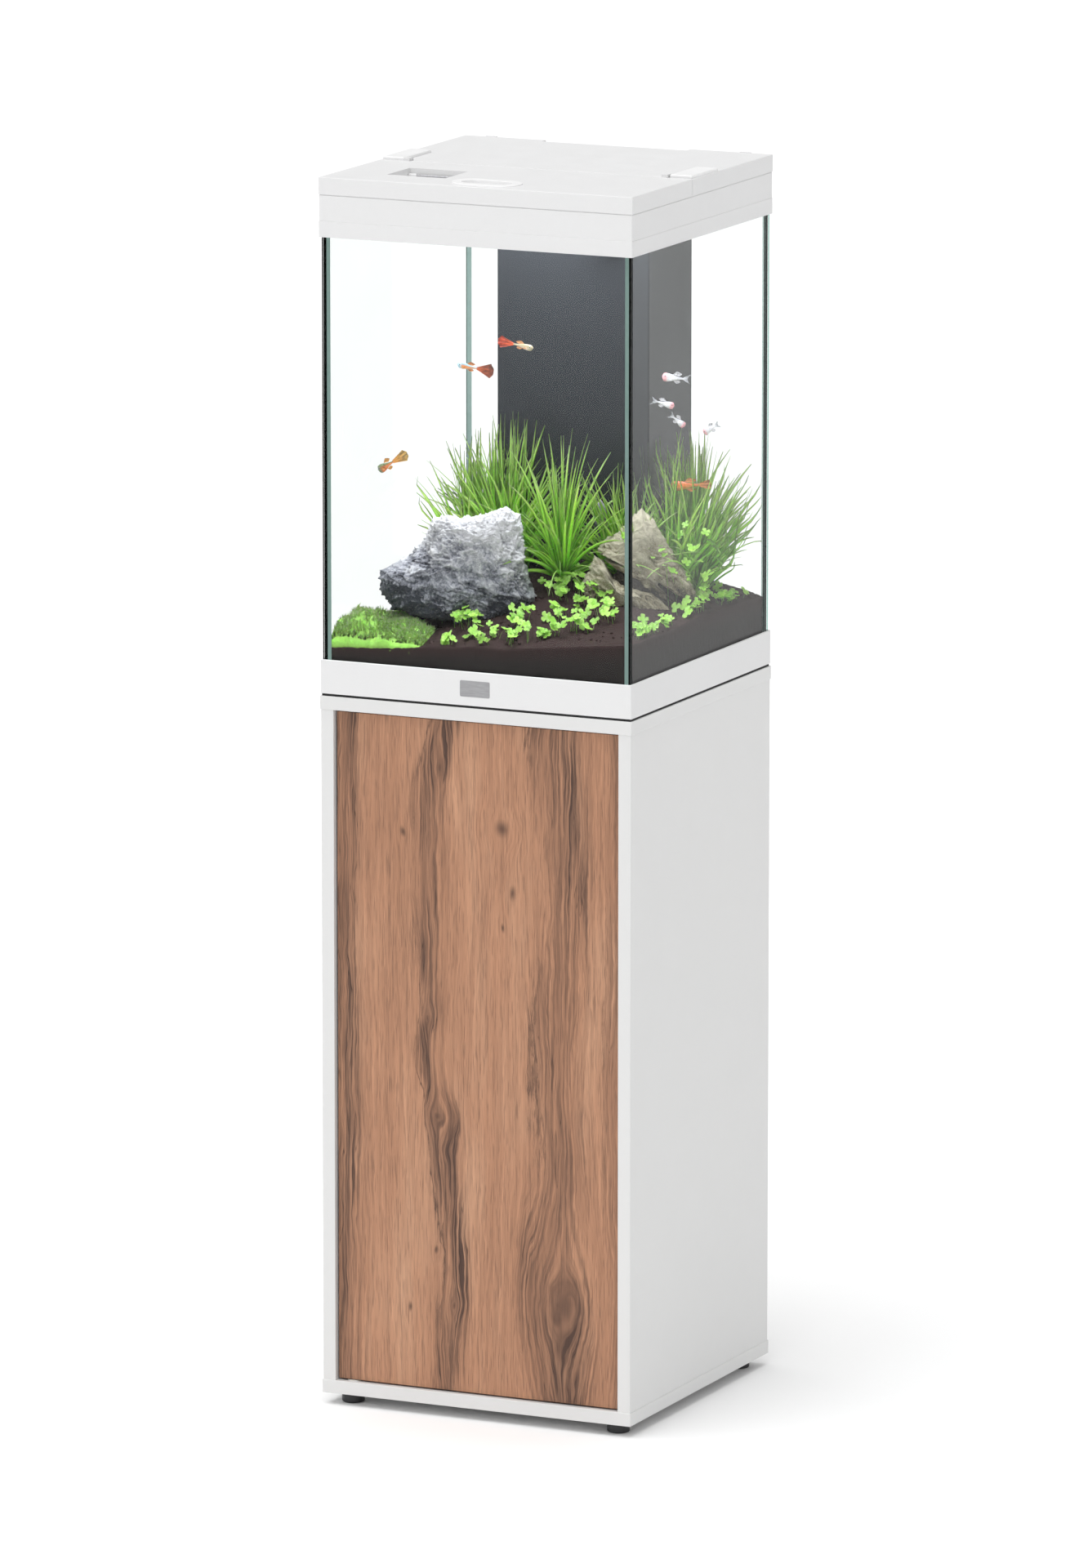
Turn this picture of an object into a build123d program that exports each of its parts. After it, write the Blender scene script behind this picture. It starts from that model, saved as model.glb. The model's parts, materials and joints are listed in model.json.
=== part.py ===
from build123d import *
import math
import os

# A column aquarium on a cupboard stand: a square glass tank in white plastic frames, a hinged hood, an
# internal filter column, and a cupboard of coated board with one inset, handle-less door.
# Millimetres. +Z is up, the door faces -Y, and the origin is on the floor under the middle of the stand.

os.makedirs("parts", exist_ok=True)

# ------------------------------------------------------------------ driving sizes: the stand
stand_width = 400.0  # bottom and top boards, left to right
stand_depth = 400.0  # bottom and top boards, front to back
board = 16.0  # thickness of every coated board
foot_height = 14.0
foot_diameter = 27.0
foot_inset = 27.5  # foot centre in from both edges
side_height = 806.0
side_setback = 1.0  # side boards inside the edges of the bottom and top boards
back_thickness = 8.0
back_inset = 4.0  # back board in from the rear edges of the sides
groove_depth = 6.0  # groove in the side boards that holds the back board
shelf_height = 430.0  # underside of the shelf above the floor
shelf_front_gap = 40.0  # shelf front edge behind the front edges of the sides
shelf_clearance = 1.0
shelf_pin_diameter = 5.0
shelf_pin_pitch = 32.0
mat_thickness = 3.0
mat_inset = 2.0

# ------------------------------------------------------------------ driving sizes: the door
door_recess = 5.5  # door face behind the front edges of the sides
door_hinge_gap = 2.0
door_latch_gap = 1.5
door_end_gap = 2.0  # above and below the door
pivot_inset = 18.0  # pivot axis in from the hinge edge of the door
pivot_diameter = 6.0
pivot_grip = 20.0  # length of the pivot pin inside the door
running_clearance = 0.05  # radial, round every turning or sliding pin
seat_clearance = 0.02  # radial, round a pin that stays put

# ------------------------------------------------------------------ driving sizes: the tank
tank_width = 399.0  # base frame, left to right
tank_depth = 399.0
base_frame_height = 40.0
base_ledge = 8.0  # thickness of the ledge under the bottom pane
frame_wall = 2.2
glass = 5.0
bottom_glass_thickness = 6.0
silicone = 0.5  # joint between two panes
showing_glass = 498.0  # glass between the base frame and the rim frame
rim_height = 19.0
rim_proud = 0.3  # rim frame beyond the base frame on each side
hood_frame_height = 31.0
reveal_height = 1.2  # shadow gap under the lid
reveal_depth = 0.9
lid_height = 20.0
lid_proud = 0.35  # lid beyond the base frame on each side
shell = 3.0  # wall of the lid mouldings
seam_y = -31.0  # joint between the front flap and the rear lid
seam_gap = 1.0
hinge_block_width = 27.0
hinge_block_depth = 75.0
hinge_block_rise = 3.5
flap_pin_diameter = 2.0
flap_axis_behind_edge = 5.5  # flap hinge axis behind the front edge of the rear lid

# ------------------------------------------------------------------ driving sizes: the filter column
column_width = 194.0
column_depth = 122.0
column_height = 531.0
column_wall = 3.0
chamber_split_x = 0.0  # middle of the wall between the two chambers

# ------------------------------------------------------------------ heights and faces that follow
bottom_z = foot_height
sides_z = bottom_z + board
top_board_z = sides_z + side_height
mat_z = top_board_z + board
base_z = mat_z + mat_thickness
base_top_z = base_z + base_frame_height
rim_z = base_top_z + showing_glass
hood_z = rim_z + rim_height
lid_z = hood_z + hood_frame_height
lid_top_z = lid_z + lid_height

half_width = stand_width / 2
half_depth = stand_depth / 2
side_outer_x = half_width - side_setback
side_inner_x = side_outer_x - board
side_middle_x = side_outer_x - board / 2
side_edge_y = half_depth - side_setback
back_rear_y = side_edge_y - back_inset
back_front_y = back_rear_y - back_thickness

ON_FLOOR = (Align.CENTER, Align.CENTER, Align.MIN)
MIRRORED = (-1, 1)


def block(low, high, mode=Mode.ADD):
    """A box between two corners, inside the part that is being built."""
    centre = tuple((a + b) / 2 for a, b in zip(low, high))
    size = [b - a for a, b in zip(low, high)]
    with Locations(centre):
        Box(*size, mode=mode)


def round_bar(plane, radius, length, mode=Mode.ADD):
    """A cylinder that starts on a plane's origin and runs along its normal."""
    with Locations(plane):
        Cylinder(radius, length, align=ON_FLOOR, mode=mode)


# ================================================================== the stand
# ------------------------------------------------------------------ fasteners of the boards
dowel_diameter = 8.0
dowel_in_board = 12.0
dowel_in_side = 18.0
dowel_y = 150.0
cam_y = 100.0
cam_disc_diameter = 15.0
cam_axis_from_end = 24.0
cam_bolt_diameter = 7.0
cam_bolt_clearance = 0.5
cam_disc_floor = 0.8  # left between the bolt's hole and the end of the disc
cam_disc_depth = board / 2 + cam_bolt_diameter / 2 + cam_bolt_clearance + cam_disc_floor
cam_bolt_in_board = 11.0
dowel_spots = [(x * side_middle_x, y * dowel_y) for x in MIRRORED for y in MIRRORED]
cam_spots = [(x * side_middle_x, y * cam_y) for x in MIRRORED for y in MIRRORED]
foot_x = half_width - foot_inset
foot_y = half_depth - foot_inset
foot_spots = [(x * foot_x, y * foot_y) for x in MIRRORED for y in MIRRORED]
foot_stem_diameter = 8.0
foot_stem_length = 11.0

# ------------------------------------------------------------------ door pivots
door_left_x = -side_inner_x + door_hinge_gap
door_right_x = side_inner_x - door_latch_gap
door_low_z = sides_z + door_end_gap
door_high_z = top_board_z - door_end_gap
door_front_y = -side_edge_y + door_recess
door_rear_y = door_front_y + board
pivot_x = door_left_x + pivot_inset
pivot_y = (door_front_y + door_rear_y) / 2
bush_diameter = 12.0
bush_depth = 10.0
bush_flange_diameter = 18.0
bush_flange = 1.2
pin_in_bush = 9.0

# Glides of black plastic, each with a stem that is pressed up into the bottom board.
with BuildPart() as foot_glides:
    for spot in foot_spots:
        with BuildSketch(Plane.XY):
            with Locations(spot):
                Circle(foot_diameter / 2)
        extrude(amount=foot_height)
    chamfer(foot_glides.edges().filter_by(GeomType.CIRCLE).group_by(Axis.Z)[0], 1.5)
    for spot in foot_spots:
        round_bar(Plane((*spot, foot_height)), foot_stem_diameter / 2, foot_stem_length)
foot_glides.part.label = "foot_glides"
export_step(foot_glides.part, "parts/foot_glides.step")

with BuildPart() as bottom_panel:
    block((-half_width, -half_depth, bottom_z), (half_width, half_depth, sides_z))
    chamfer(bottom_panel.edges(), 0.5)
    for spot in foot_spots:
        round_bar(Plane((*spot, bottom_z)), foot_stem_diameter / 2 + seat_clearance,
                  foot_stem_length + 1, Mode.SUBTRACT)
    for spot in dowel_spots:
        round_bar(Plane((*spot, sides_z - dowel_in_board - 0.5)), dowel_diameter / 2 + running_clearance,
                  dowel_in_board + 0.5, Mode.SUBTRACT)
    for spot in cam_spots:
        round_bar(Plane((*spot, sides_z - cam_bolt_in_board)), cam_bolt_diameter / 2 + seat_clearance,
                  cam_bolt_in_board, Mode.SUBTRACT)
    round_bar(Plane((pivot_x, pivot_y, sides_z - bush_depth)), bush_diameter / 2 + seat_clearance,
              bush_depth, Mode.SUBTRACT)
bottom_panel.part.label = "bottom_panel"
export_step(bottom_panel.part, "parts/bottom_panel.step")

with BuildPart() as top_panel:
    block((-half_width, -half_depth, top_board_z), (half_width, half_depth, mat_z))
    chamfer(top_panel.edges(), 0.5)
    for spot in dowel_spots:
        round_bar(Plane((*spot, top_board_z)), dowel_diameter / 2 + running_clearance,
                  dowel_in_board + 0.5, Mode.SUBTRACT)
    for spot in cam_spots:
        round_bar(Plane((*spot, top_board_z)), cam_bolt_diameter / 2 + seat_clearance,
                  cam_bolt_in_board, Mode.SUBTRACT)
    round_bar(Plane((pivot_x, pivot_y, top_board_z)), bush_diameter / 2 + seat_clearance,
              bush_depth, Mode.SUBTRACT)
top_panel.part.label = "top_panel"
export_step(top_panel.part, "parts/top_panel.step")

# Shelf supports: a short column of holes near the front and the back of each side board.
shelf_low_z = shelf_height
shelf_front_y = -side_edge_y + shelf_front_gap
shelf_rear_y = back_front_y - shelf_clearance
pin_ys = (shelf_front_y + 30.0, shelf_rear_y - 30.0)
pin_in_side = 8.0
pin_under_shelf = 9.0
pin_z = shelf_low_z - shelf_pin_diameter / 2
pin_hole_zs = [pin_z + step * shelf_pin_pitch for step in (-2, -1, 0, 1, 2)]

for side, side_name in ((-1, "left_side_panel"), (1, "right_side_panel")):
    inward = (-side, 0, 0)
    outward = (side, 0, 0)
    with BuildPart() as side_panel:
        block((side * side_middle_x - board / 2, -side_edge_y, sides_z),
              (side * side_middle_x + board / 2, side_edge_y, top_board_z))
        chamfer(side_panel.edges().filter_by(Axis.Z), 0.4)
        groove_x = sorted((side * side_inner_x, side * (side_inner_x + groove_depth)))
        block((groove_x[0], back_front_y - 0.1, sides_z), (groove_x[1], back_rear_y + 0.1, top_board_z),
              Mode.SUBTRACT)
        for y in (-dowel_y, dowel_y):
            hole = dowel_in_side + 0.5
            round_bar(Plane((side * side_middle_x, y, sides_z)), dowel_diameter / 2 + running_clearance,
                      hole, Mode.SUBTRACT)
            round_bar(Plane((side * side_middle_x, y, top_board_z - hole)),
                      dowel_diameter / 2 + running_clearance, hole, Mode.SUBTRACT)
        for y in (-cam_y, cam_y):
            hole = cam_axis_from_end + cam_bolt_diameter / 2
            for low_z, disc_z in ((sides_z, sides_z + cam_axis_from_end),
                                  (top_board_z - hole, top_board_z - cam_axis_from_end)):
                round_bar(Plane((side * side_middle_x, y, low_z)), cam_bolt_diameter / 2 + cam_bolt_clearance, hole,
                          Mode.SUBTRACT)
                round_bar(Plane((side * side_inner_x, y, disc_z), z_dir=outward),
                          cam_disc_diameter / 2 + 0.1, cam_disc_depth + 0.2, Mode.SUBTRACT)
        for y in pin_ys:
            for z in pin_hole_zs:
                round_bar(Plane((side * side_inner_x, y, z), z_dir=outward),
                          shelf_pin_diameter / 2 + seat_clearance, pin_in_side + 0.5, Mode.SUBTRACT)
    side_panel.part.label = side_name
    export_step(side_panel.part, f"parts/{side_name}.step")

# ------------------------------------------------------------------ back board and its cable grommet
port_x = 100.0
port_drop = 76.0  # middle of the port below the top board
port_z = top_board_z - port_drop
port_radius = 25.0
grommet_wall = 4.0
grommet_flange = 2.0
grommet_flange_width = 6.0
back_half_width = side_inner_x + groove_depth - 0.5

with BuildPart() as back_panel:
    block((-back_half_width, back_front_y, sides_z), (back_half_width, back_rear_y, top_board_z))
    round_bar(Plane((port_x, back_front_y, port_z), z_dir=(0, 1, 0)),
              port_radius + grommet_wall + seat_clearance, back_thickness, Mode.SUBTRACT)
back_panel.part.label = "back_panel"
export_step(back_panel.part, "parts/back_panel.step")

with BuildPart() as cable_grommet:
    rear = Plane((port_x, back_rear_y, port_z), z_dir=(0, 1, 0))
    through = Plane((port_x, back_front_y, port_z), z_dir=(0, 1, 0))
    round_bar(through, port_radius + grommet_wall, back_thickness)
    round_bar(rear, port_radius + grommet_wall + grommet_flange_width, grommet_flange)
    round_bar(through, port_radius, back_thickness + grommet_flange, Mode.SUBTRACT)
    fillet(cable_grommet.edges().filter_by(GeomType.CIRCLE).group_by(Axis.Y)[-1], 0.8)
cable_grommet.part.label = "cable_grommet"
export_step(cable_grommet.part, "parts/cable_grommet.step")

# ------------------------------------------------------------------ shelf and its pins
with BuildPart() as shelf:
    block((-side_inner_x + shelf_clearance, shelf_front_y, shelf_low_z),
          (side_inner_x - shelf_clearance, shelf_rear_y, shelf_low_z + board))
    chamfer(shelf.edges().filter_by(Axis.X), 0.4)
shelf.part.label = "shelf"
export_step(shelf.part, "parts/shelf.step")

with BuildPart() as shelf_pins:
    for side in MIRRORED:
        for y in pin_ys:
            start = Plane((side * (side_inner_x + pin_in_side), y, pin_z), z_dir=(-side, 0, 0))
            round_bar(start, shelf_pin_diameter / 2, pin_in_side + pin_under_shelf)
shelf_pins.part.label = "shelf_pins"
export_step(shelf_pins.part, "parts/shelf_pins.step")

# ------------------------------------------------------------------ knock-down fittings
with BuildPart() as joint_dowels:
    for spot in dowel_spots:
        for low_z in (sides_z - dowel_in_board, top_board_z - dowel_in_side):
            round_bar(Plane((*spot, low_z)), dowel_diameter / 2, dowel_in_board + dowel_in_side)
joint_dowels.part.label = "joint_dowels"
export_step(joint_dowels.part, "parts/joint_dowels.step")

with BuildPart() as cam_bolts:
    bolt_in_side = cam_axis_from_end - 1.0
    for spot in cam_spots:
        for low_z in (sides_z - cam_bolt_in_board, top_board_z - bolt_in_side):
            round_bar(Plane((*spot, low_z)), cam_bolt_diameter / 2, cam_bolt_in_board + bolt_in_side)
cam_bolts.part.label = "cam_bolts"
export_step(cam_bolts.part, "parts/cam_bolts.step")

with BuildPart() as cam_discs:
    for side in MIRRORED:
        for y in (-cam_y, cam_y):
            for disc_z in (sides_z + cam_axis_from_end, top_board_z - cam_axis_from_end):
                face = Plane((side * side_inner_x, y, disc_z), z_dir=(side, 0, 0))
                round_bar(face, cam_disc_diameter / 2, cam_disc_depth)
                # The end of the bolt enters through a hole in the rim of the disc.
                to_bolt = -1 if disc_z < sides_z + side_height / 2 else 1
                round_bar(Plane((side * side_middle_x, y, disc_z - to_bolt * cam_bolt_diameter / 2),
                                z_dir=(0, 0, to_bolt)), cam_bolt_diameter / 2 + cam_bolt_clearance, cam_disc_diameter,
                          Mode.SUBTRACT)
                block((side * side_inner_x - 1.5, y - 4.0, disc_z - 0.6),
                      (side * side_inner_x + 1.5, y + 4.0, disc_z + 0.6), Mode.SUBTRACT)
                block((side * side_inner_x - 1.5, y - 0.6, disc_z - 4.0),
                      (side * side_inner_x + 1.5, y + 0.6, disc_z + 4.0), Mode.SUBTRACT)
cam_discs.part.label = "cam_discs"
export_step(cam_discs.part, "parts/cam_discs.step")

# ------------------------------------------------------------------ door, pivots and push latch
latch_z = 600.0
latch_width = 14.0
latch_height = 22.0
latch_length = 60.0
latch_behind_door = 4.5  # front of the latch body behind the door
plunger_diameter = 9.0
plunger_length = 34.0
plunger_travel = 3.0
strike_thickness = 1.2
strike_gap = 0.5
spring_length = 9.0
latch_x = side_inner_x - latch_width / 2
latch_front_y = door_rear_y + latch_behind_door
plunger_tip_y = door_rear_y + strike_thickness + strike_gap

with BuildPart() as door_panel:
    block((door_left_x, door_front_y, door_low_z), (door_right_x, door_rear_y, door_high_z))
    chamfer(door_panel.edges(), 0.5)
    for low_z in (door_low_z, door_high_z - pivot_grip):
        round_bar(Plane((pivot_x, pivot_y, low_z)), pivot_diameter / 2 + seat_clearance, pivot_grip,
                  Mode.SUBTRACT)
door_panel.part.label = "door_panel"
export_step(door_panel.part, "parts/door_panel.step")

with BuildPart() as door_pivot_pins:
    reach = pivot_grip + door_end_gap + pin_in_bush
    for low_z in (door_low_z + pivot_grip - reach, door_high_z - pivot_grip):
        round_bar(Plane((pivot_x, pivot_y, low_z)), pivot_diameter / 2, reach)
door_pivot_pins.part.label = "door_pivot_pins"
export_step(door_pivot_pins.part, "parts/door_pivot_pins.step")

with BuildPart() as pivot_bushes:
    for barrel_z, flange_z in ((sides_z - bush_depth, sides_z), (top_board_z, top_board_z - bush_flange)):
        round_bar(Plane((pivot_x, pivot_y, barrel_z)), bush_diameter / 2, bush_depth)
        round_bar(Plane((pivot_x, pivot_y, flange_z)), bush_flange_diameter / 2, bush_flange)
    for low_z in (sides_z - bush_depth + 0.5, top_board_z - bush_flange):
        round_bar(Plane((pivot_x, pivot_y, low_z)), pivot_diameter / 2 + running_clearance,
                  bush_depth + bush_flange - 0.5, Mode.SUBTRACT)
pivot_bushes.part.label = "pivot_bushes"
export_step(pivot_bushes.part, "parts/pivot_bushes.step")

with BuildPart() as strike_plate:
    with BuildSketch(Plane((latch_x - 1, door_rear_y, latch_z), x_dir=(1, 0, 0), z_dir=(0, 1, 0))):
        RectangleRounded(14.0, 20.0, 2.0)
    extrude(amount=strike_thickness)
strike_plate.part.label = "strike_plate"
export_step(strike_plate.part, "parts/strike_plate.step")

with BuildPart() as latch_body:
    block((latch_x - latch_width / 2, latch_front_y, latch_z - latch_height / 2),
          (latch_x + latch_width / 2, latch_front_y + latch_length, latch_z + latch_height / 2))
    fillet(latch_body.edges().filter_by(Axis.Y), 1.2)
    bore = plunger_tip_y + plunger_length + spring_length - latch_front_y
    round_bar(Plane((latch_x, latch_front_y, latch_z), z_dir=(0, 1, 0)),
              plunger_diameter / 2 + running_clearance, bore, Mode.SUBTRACT)
latch_body.part.label = "latch_body"
export_step(latch_body.part, "parts/latch_body.step")

with BuildPart() as latch_plunger:
    round_bar(Plane((latch_x, plunger_tip_y, latch_z), z_dir=(0, 1, 0)), plunger_diameter / 2,
              plunger_length)
    fillet(latch_plunger.edges().filter_by(GeomType.CIRCLE).group_by(Axis.Y)[0], 1.0)
latch_plunger.part.label = "latch_plunger"
export_step(latch_plunger.part, "parts/latch_plunger.step")

# ------------------------------------------------------------------ mat between stand and tank
with BuildPart(Plane.XY.offset(mat_z)) as base_mat:
    Box(stand_width - 2 * mat_inset, stand_depth - 2 * mat_inset, mat_thickness, align=ON_FLOOR)
base_mat.part.label = "base_mat"
export_step(base_mat.part, "parts/base_mat.step")

# ================================================================== the tank
glass_clearance = 0.25  # between the panes and the frames that hold them
glass_half_x = tank_width / 2 - frame_wall - glass_clearance
glass_half_y = tank_depth / 2 - frame_wall - glass_clearance
bottom_glass_z = base_z + base_ledge
bottom_top_z = bottom_glass_z + bottom_glass_thickness
pane_z = bottom_top_z + silicone
rim_web = 2.0
pane_top_z = hood_z - rim_web - silicone
inner_x = glass_half_x - glass
inner_y = glass_half_y - glass
side_pane_half = inner_y - silicone
badge_width = 38.0
badge_height = 19.0
badge_thickness = 0.6
badge_sunk = 0.4
base_ledge_width = 18.0

with BuildPart() as base_frame:
    with BuildSketch(Plane.XY.offset(base_z)):
        RectangleRounded(tank_width, tank_depth, 1.5)
    extrude(amount=base_frame_height)
    chamfer(base_frame.faces().sort_by(Axis.Z)[-1].edges(), 0.6)
    with BuildSketch(Plane.XY.offset(base_z + base_ledge)):
        Rectangle(tank_width - 2 * frame_wall, tank_depth - 2 * frame_wall)
    extrude(amount=base_frame_height, mode=Mode.SUBTRACT)
    with BuildSketch(Plane.XY.offset(base_z)):
        Rectangle(tank_width - 2 * base_ledge_width, tank_depth - 2 * base_ledge_width)
    extrude(amount=base_ledge, mode=Mode.SUBTRACT)
    badge_z = base_z + base_frame_height / 2
    front_face = Plane((0, -tank_depth / 2, badge_z), x_dir=(1, 0, 0), z_dir=(0, 1, 0))
    with BuildSketch(front_face):
        RectangleRounded(badge_width + 0.2, badge_height + 0.2, 1.6)
    extrude(amount=badge_sunk, mode=Mode.SUBTRACT)
base_frame.part.label = "base_frame"
export_step(base_frame.part, "parts/base_frame.step")

with BuildPart() as base_badge:
    with BuildSketch(front_face.offset(badge_sunk)):
        RectangleRounded(badge_width, badge_height, 1.5)
    extrude(amount=-badge_thickness)
    chamfer(base_badge.faces().sort_by(Axis.Y)[0].edges(), 0.15)
base_badge.part.label = "base_badge"
export_step(base_badge.part, "parts/base_badge.step")

with BuildPart() as bottom_glass:
    block((-glass_half_x, -glass_half_y, bottom_glass_z), (glass_half_x, glass_half_y, bottom_top_z))
bottom_glass.part.label = "bottom_glass"
export_step(bottom_glass.part, "parts/bottom_glass.step")

# The front and back panes cover the edges of the side panes.
for front, pane_name in ((-1, "front_glass"), (1, "back_glass")):
    near, far = sorted((front * inner_y, front * glass_half_y))
    with BuildPart() as end_pane:
        block((-glass_half_x, near, pane_z), (glass_half_x, far, pane_top_z))
        chamfer(end_pane.edges().filter_by(Axis.Z), 0.4)
    end_pane.part.label = pane_name
    export_step(end_pane.part, f"parts/{pane_name}.step")

for side, pane_name in ((-1, "left_glass"), (1, "right_glass")):
    near, far = sorted((side * inner_x, side * glass_half_x))
    with BuildPart() as side_pane:
        block((near, -side_pane_half, pane_z), (far, side_pane_half, pane_top_z))
    side_pane.part.label = pane_name
    export_step(side_pane.part, f"parts/{pane_name}.step")

# A bead of silicone fills each upright joint and turns the inside corner.
bead = 4.0
rim_lip = 2.0
rim_lip_depth = 8.0
seam_top_z = hood_z - rim_lip_depth - 0.5
with BuildPart() as silicone_seams:
    for side in MIRRORED:
        for front in MIRRORED:
            with BuildSketch(Plane.XY.offset(pane_z)):
                with BuildLine():
                    Polyline((side * (glass_half_x - 0.4), front * inner_y),
                             (side * (inner_x - bead), front * inner_y),
                             (side * inner_x, front * (side_pane_half - bead)),
                             (side * inner_x, front * side_pane_half),
                             (side * (glass_half_x - 0.4), front * side_pane_half), close=True)
                make_face()
            extrude(amount=seam_top_z - pane_z)
    with BuildSketch(Plane.XY.offset(bottom_top_z)):
        Rectangle(2 * glass_half_x - 1.0, 2 * glass_half_y - 1.0)
        Rectangle(2 * inner_x - 2 * bead, 2 * inner_y - 2 * bead, mode=Mode.SUBTRACT)
    extrude(amount=silicone)
silicone_seams.part.label = "silicone_seams"
export_step(silicone_seams.part, "parts/silicone_seams.step")

rim_outer_x = tank_width + 2 * rim_proud
rim_outer_y = tank_depth + 2 * rim_proud
lip_half_x = inner_x - glass_clearance
lip_half_y = inner_y - glass_clearance
with BuildPart() as rim_frame:
    with BuildSketch(Plane.XY.offset(rim_z)):
        RectangleRounded(rim_outer_x, rim_outer_y, 1.5)
    extrude(amount=rim_height)
    chamfer(rim_frame.faces().sort_by(Axis.Z)[-1].edges(), 0.5)
    with BuildSketch(Plane.XY.offset(rim_z)):
        Rectangle(2 * (glass_half_x + glass_clearance), 2 * (glass_half_y + glass_clearance))
    extrude(amount=rim_height - rim_web, mode=Mode.SUBTRACT)
    with BuildSketch(Plane.XY.offset(hood_z - rim_lip_depth)):
        Rectangle(2 * lip_half_x, 2 * lip_half_y)
    extrude(amount=rim_lip_depth)
    with BuildSketch(Plane.XY.offset(rim_z)):
        Rectangle(2 * (lip_half_x - rim_lip), 2 * (lip_half_y - rim_lip))
    extrude(amount=rim_height, mode=Mode.SUBTRACT)
rim_frame.part.label = "rim_frame"
export_step(rim_frame.part, "parts/rim_frame.step")

# ================================================================== the filter column
column_z = bottom_top_z + silicone
column_top_z = column_z + column_height
column_rear_y = inner_y - silicone
column_front_y = column_rear_y - column_depth
column_x = column_width / 2
chamber_front_y = column_front_y + column_wall
chamber_rear_y = column_rear_y - column_wall
chamber_x = column_x - column_wall
split_half = column_wall / 2
foam_clearance = 0.5
spigot_x = 55.0
spigot_z = column_top_z - 36.0
spigot_radius = 8.0

with BuildPart() as filter_housing:
    block((-column_x, column_front_y, column_z), (column_x, column_rear_y, column_top_z))
    fillet(filter_housing.edges().filter_by(Axis.Z).group_by(Axis.Y)[0], 2.0)
    chamber_low_z = column_z + column_wall
    block((-chamber_x, chamber_front_y, chamber_low_z),
          (chamber_split_x - split_half, chamber_rear_y, column_top_z), Mode.SUBTRACT)
    block((chamber_split_x + split_half, chamber_front_y, chamber_low_z),
          (chamber_x, chamber_rear_y, column_top_z), Mode.SUBTRACT)
    # Water enters through slots low in the left wall and passes under the split.
    slot_y = (chamber_front_y + chamber_rear_y) / 2
    for step in range(8):
        slot_z = column_z + 150.0 + step * 9.0
        block((-column_x - 1, slot_y - 35.0, slot_z), (-chamber_x + 1, slot_y + 35.0, slot_z + 4.0),
              Mode.SUBTRACT)
    block((chamber_split_x - column_wall, slot_y - 30.0, chamber_low_z + 4.0),
          (chamber_split_x + column_wall, slot_y + 30.0, chamber_low_z + 54.0), Mode.SUBTRACT)
    round_bar(Plane((spigot_x, column_front_y - 1, spigot_z), z_dir=(0, 1, 0)), spigot_radius + 0.3,
              column_wall + 2, Mode.SUBTRACT)
filter_housing.part.label = "filter_housing"
export_step(filter_housing.part, "parts/filter_housing.step")

foam_left_x = -chamber_x + foam_clearance
foam_right_x = chamber_split_x - split_half - foam_clearance
foam_front_y = chamber_front_y + foam_clearance
foam_rear_y = chamber_rear_y - foam_clearance
coarse_low_z = chamber_low_z + 60.0
foam_height = 180.0
foam_gap = 2.0
with BuildPart() as coarse_foam:
    block((foam_left_x, foam_front_y, coarse_low_z), (foam_right_x, foam_rear_y, coarse_low_z + foam_height))
coarse_foam.part.label = "coarse_foam"
export_step(coarse_foam.part, "parts/coarse_foam.step")

fine_low_z = coarse_low_z + foam_height + foam_gap
with BuildPart() as fine_foam:
    block((foam_left_x, foam_front_y, fine_low_z), (foam_right_x, foam_rear_y, fine_low_z + foam_height))
fine_foam.part.label = "fine_foam"
export_step(fine_foam.part, "parts/fine_foam.step")

# Ribs that carry the foam, as one grid on legs.
with BuildPart() as foam_tray:
    tray = 4.0
    block((foam_left_x, foam_front_y, coarse_low_z - tray), (foam_right_x, foam_rear_y, coarse_low_z))
    with Locations(((foam_left_x + foam_right_x) / 2, slot_y, coarse_low_z - tray / 2)):
        with GridLocations(20.0, 20.0, 4, 5):
            Box(14.0, 14.0, tray, mode=Mode.SUBTRACT)
    for x in (foam_left_x, foam_right_x - tray):
        for y in (foam_front_y, foam_rear_y - tray):
            block((x, y, chamber_low_z), (x + tray, y + tray, coarse_low_z - tray))
foam_tray.part.label = "foam_tray"
export_step(foam_tray.part, "parts/foam_tray.step")

# ------------------------------------------------------------------ pump
pump_y = chamber_front_y + 38.0
pump_half = 24.0
pump_low_z = spigot_z - 34.0
pump_high_z = spigot_z + 16.0
rotor_radius = 9.0
rotor_well_radius = 9.8
vane_radius = 14.0
volute_radius = 15.5
volute_height = 18.0
shaft_radius = 1.5
volute_z = spigot_z - volute_height / 2
rotor_low_z = pump_low_z + 5.0

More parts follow.
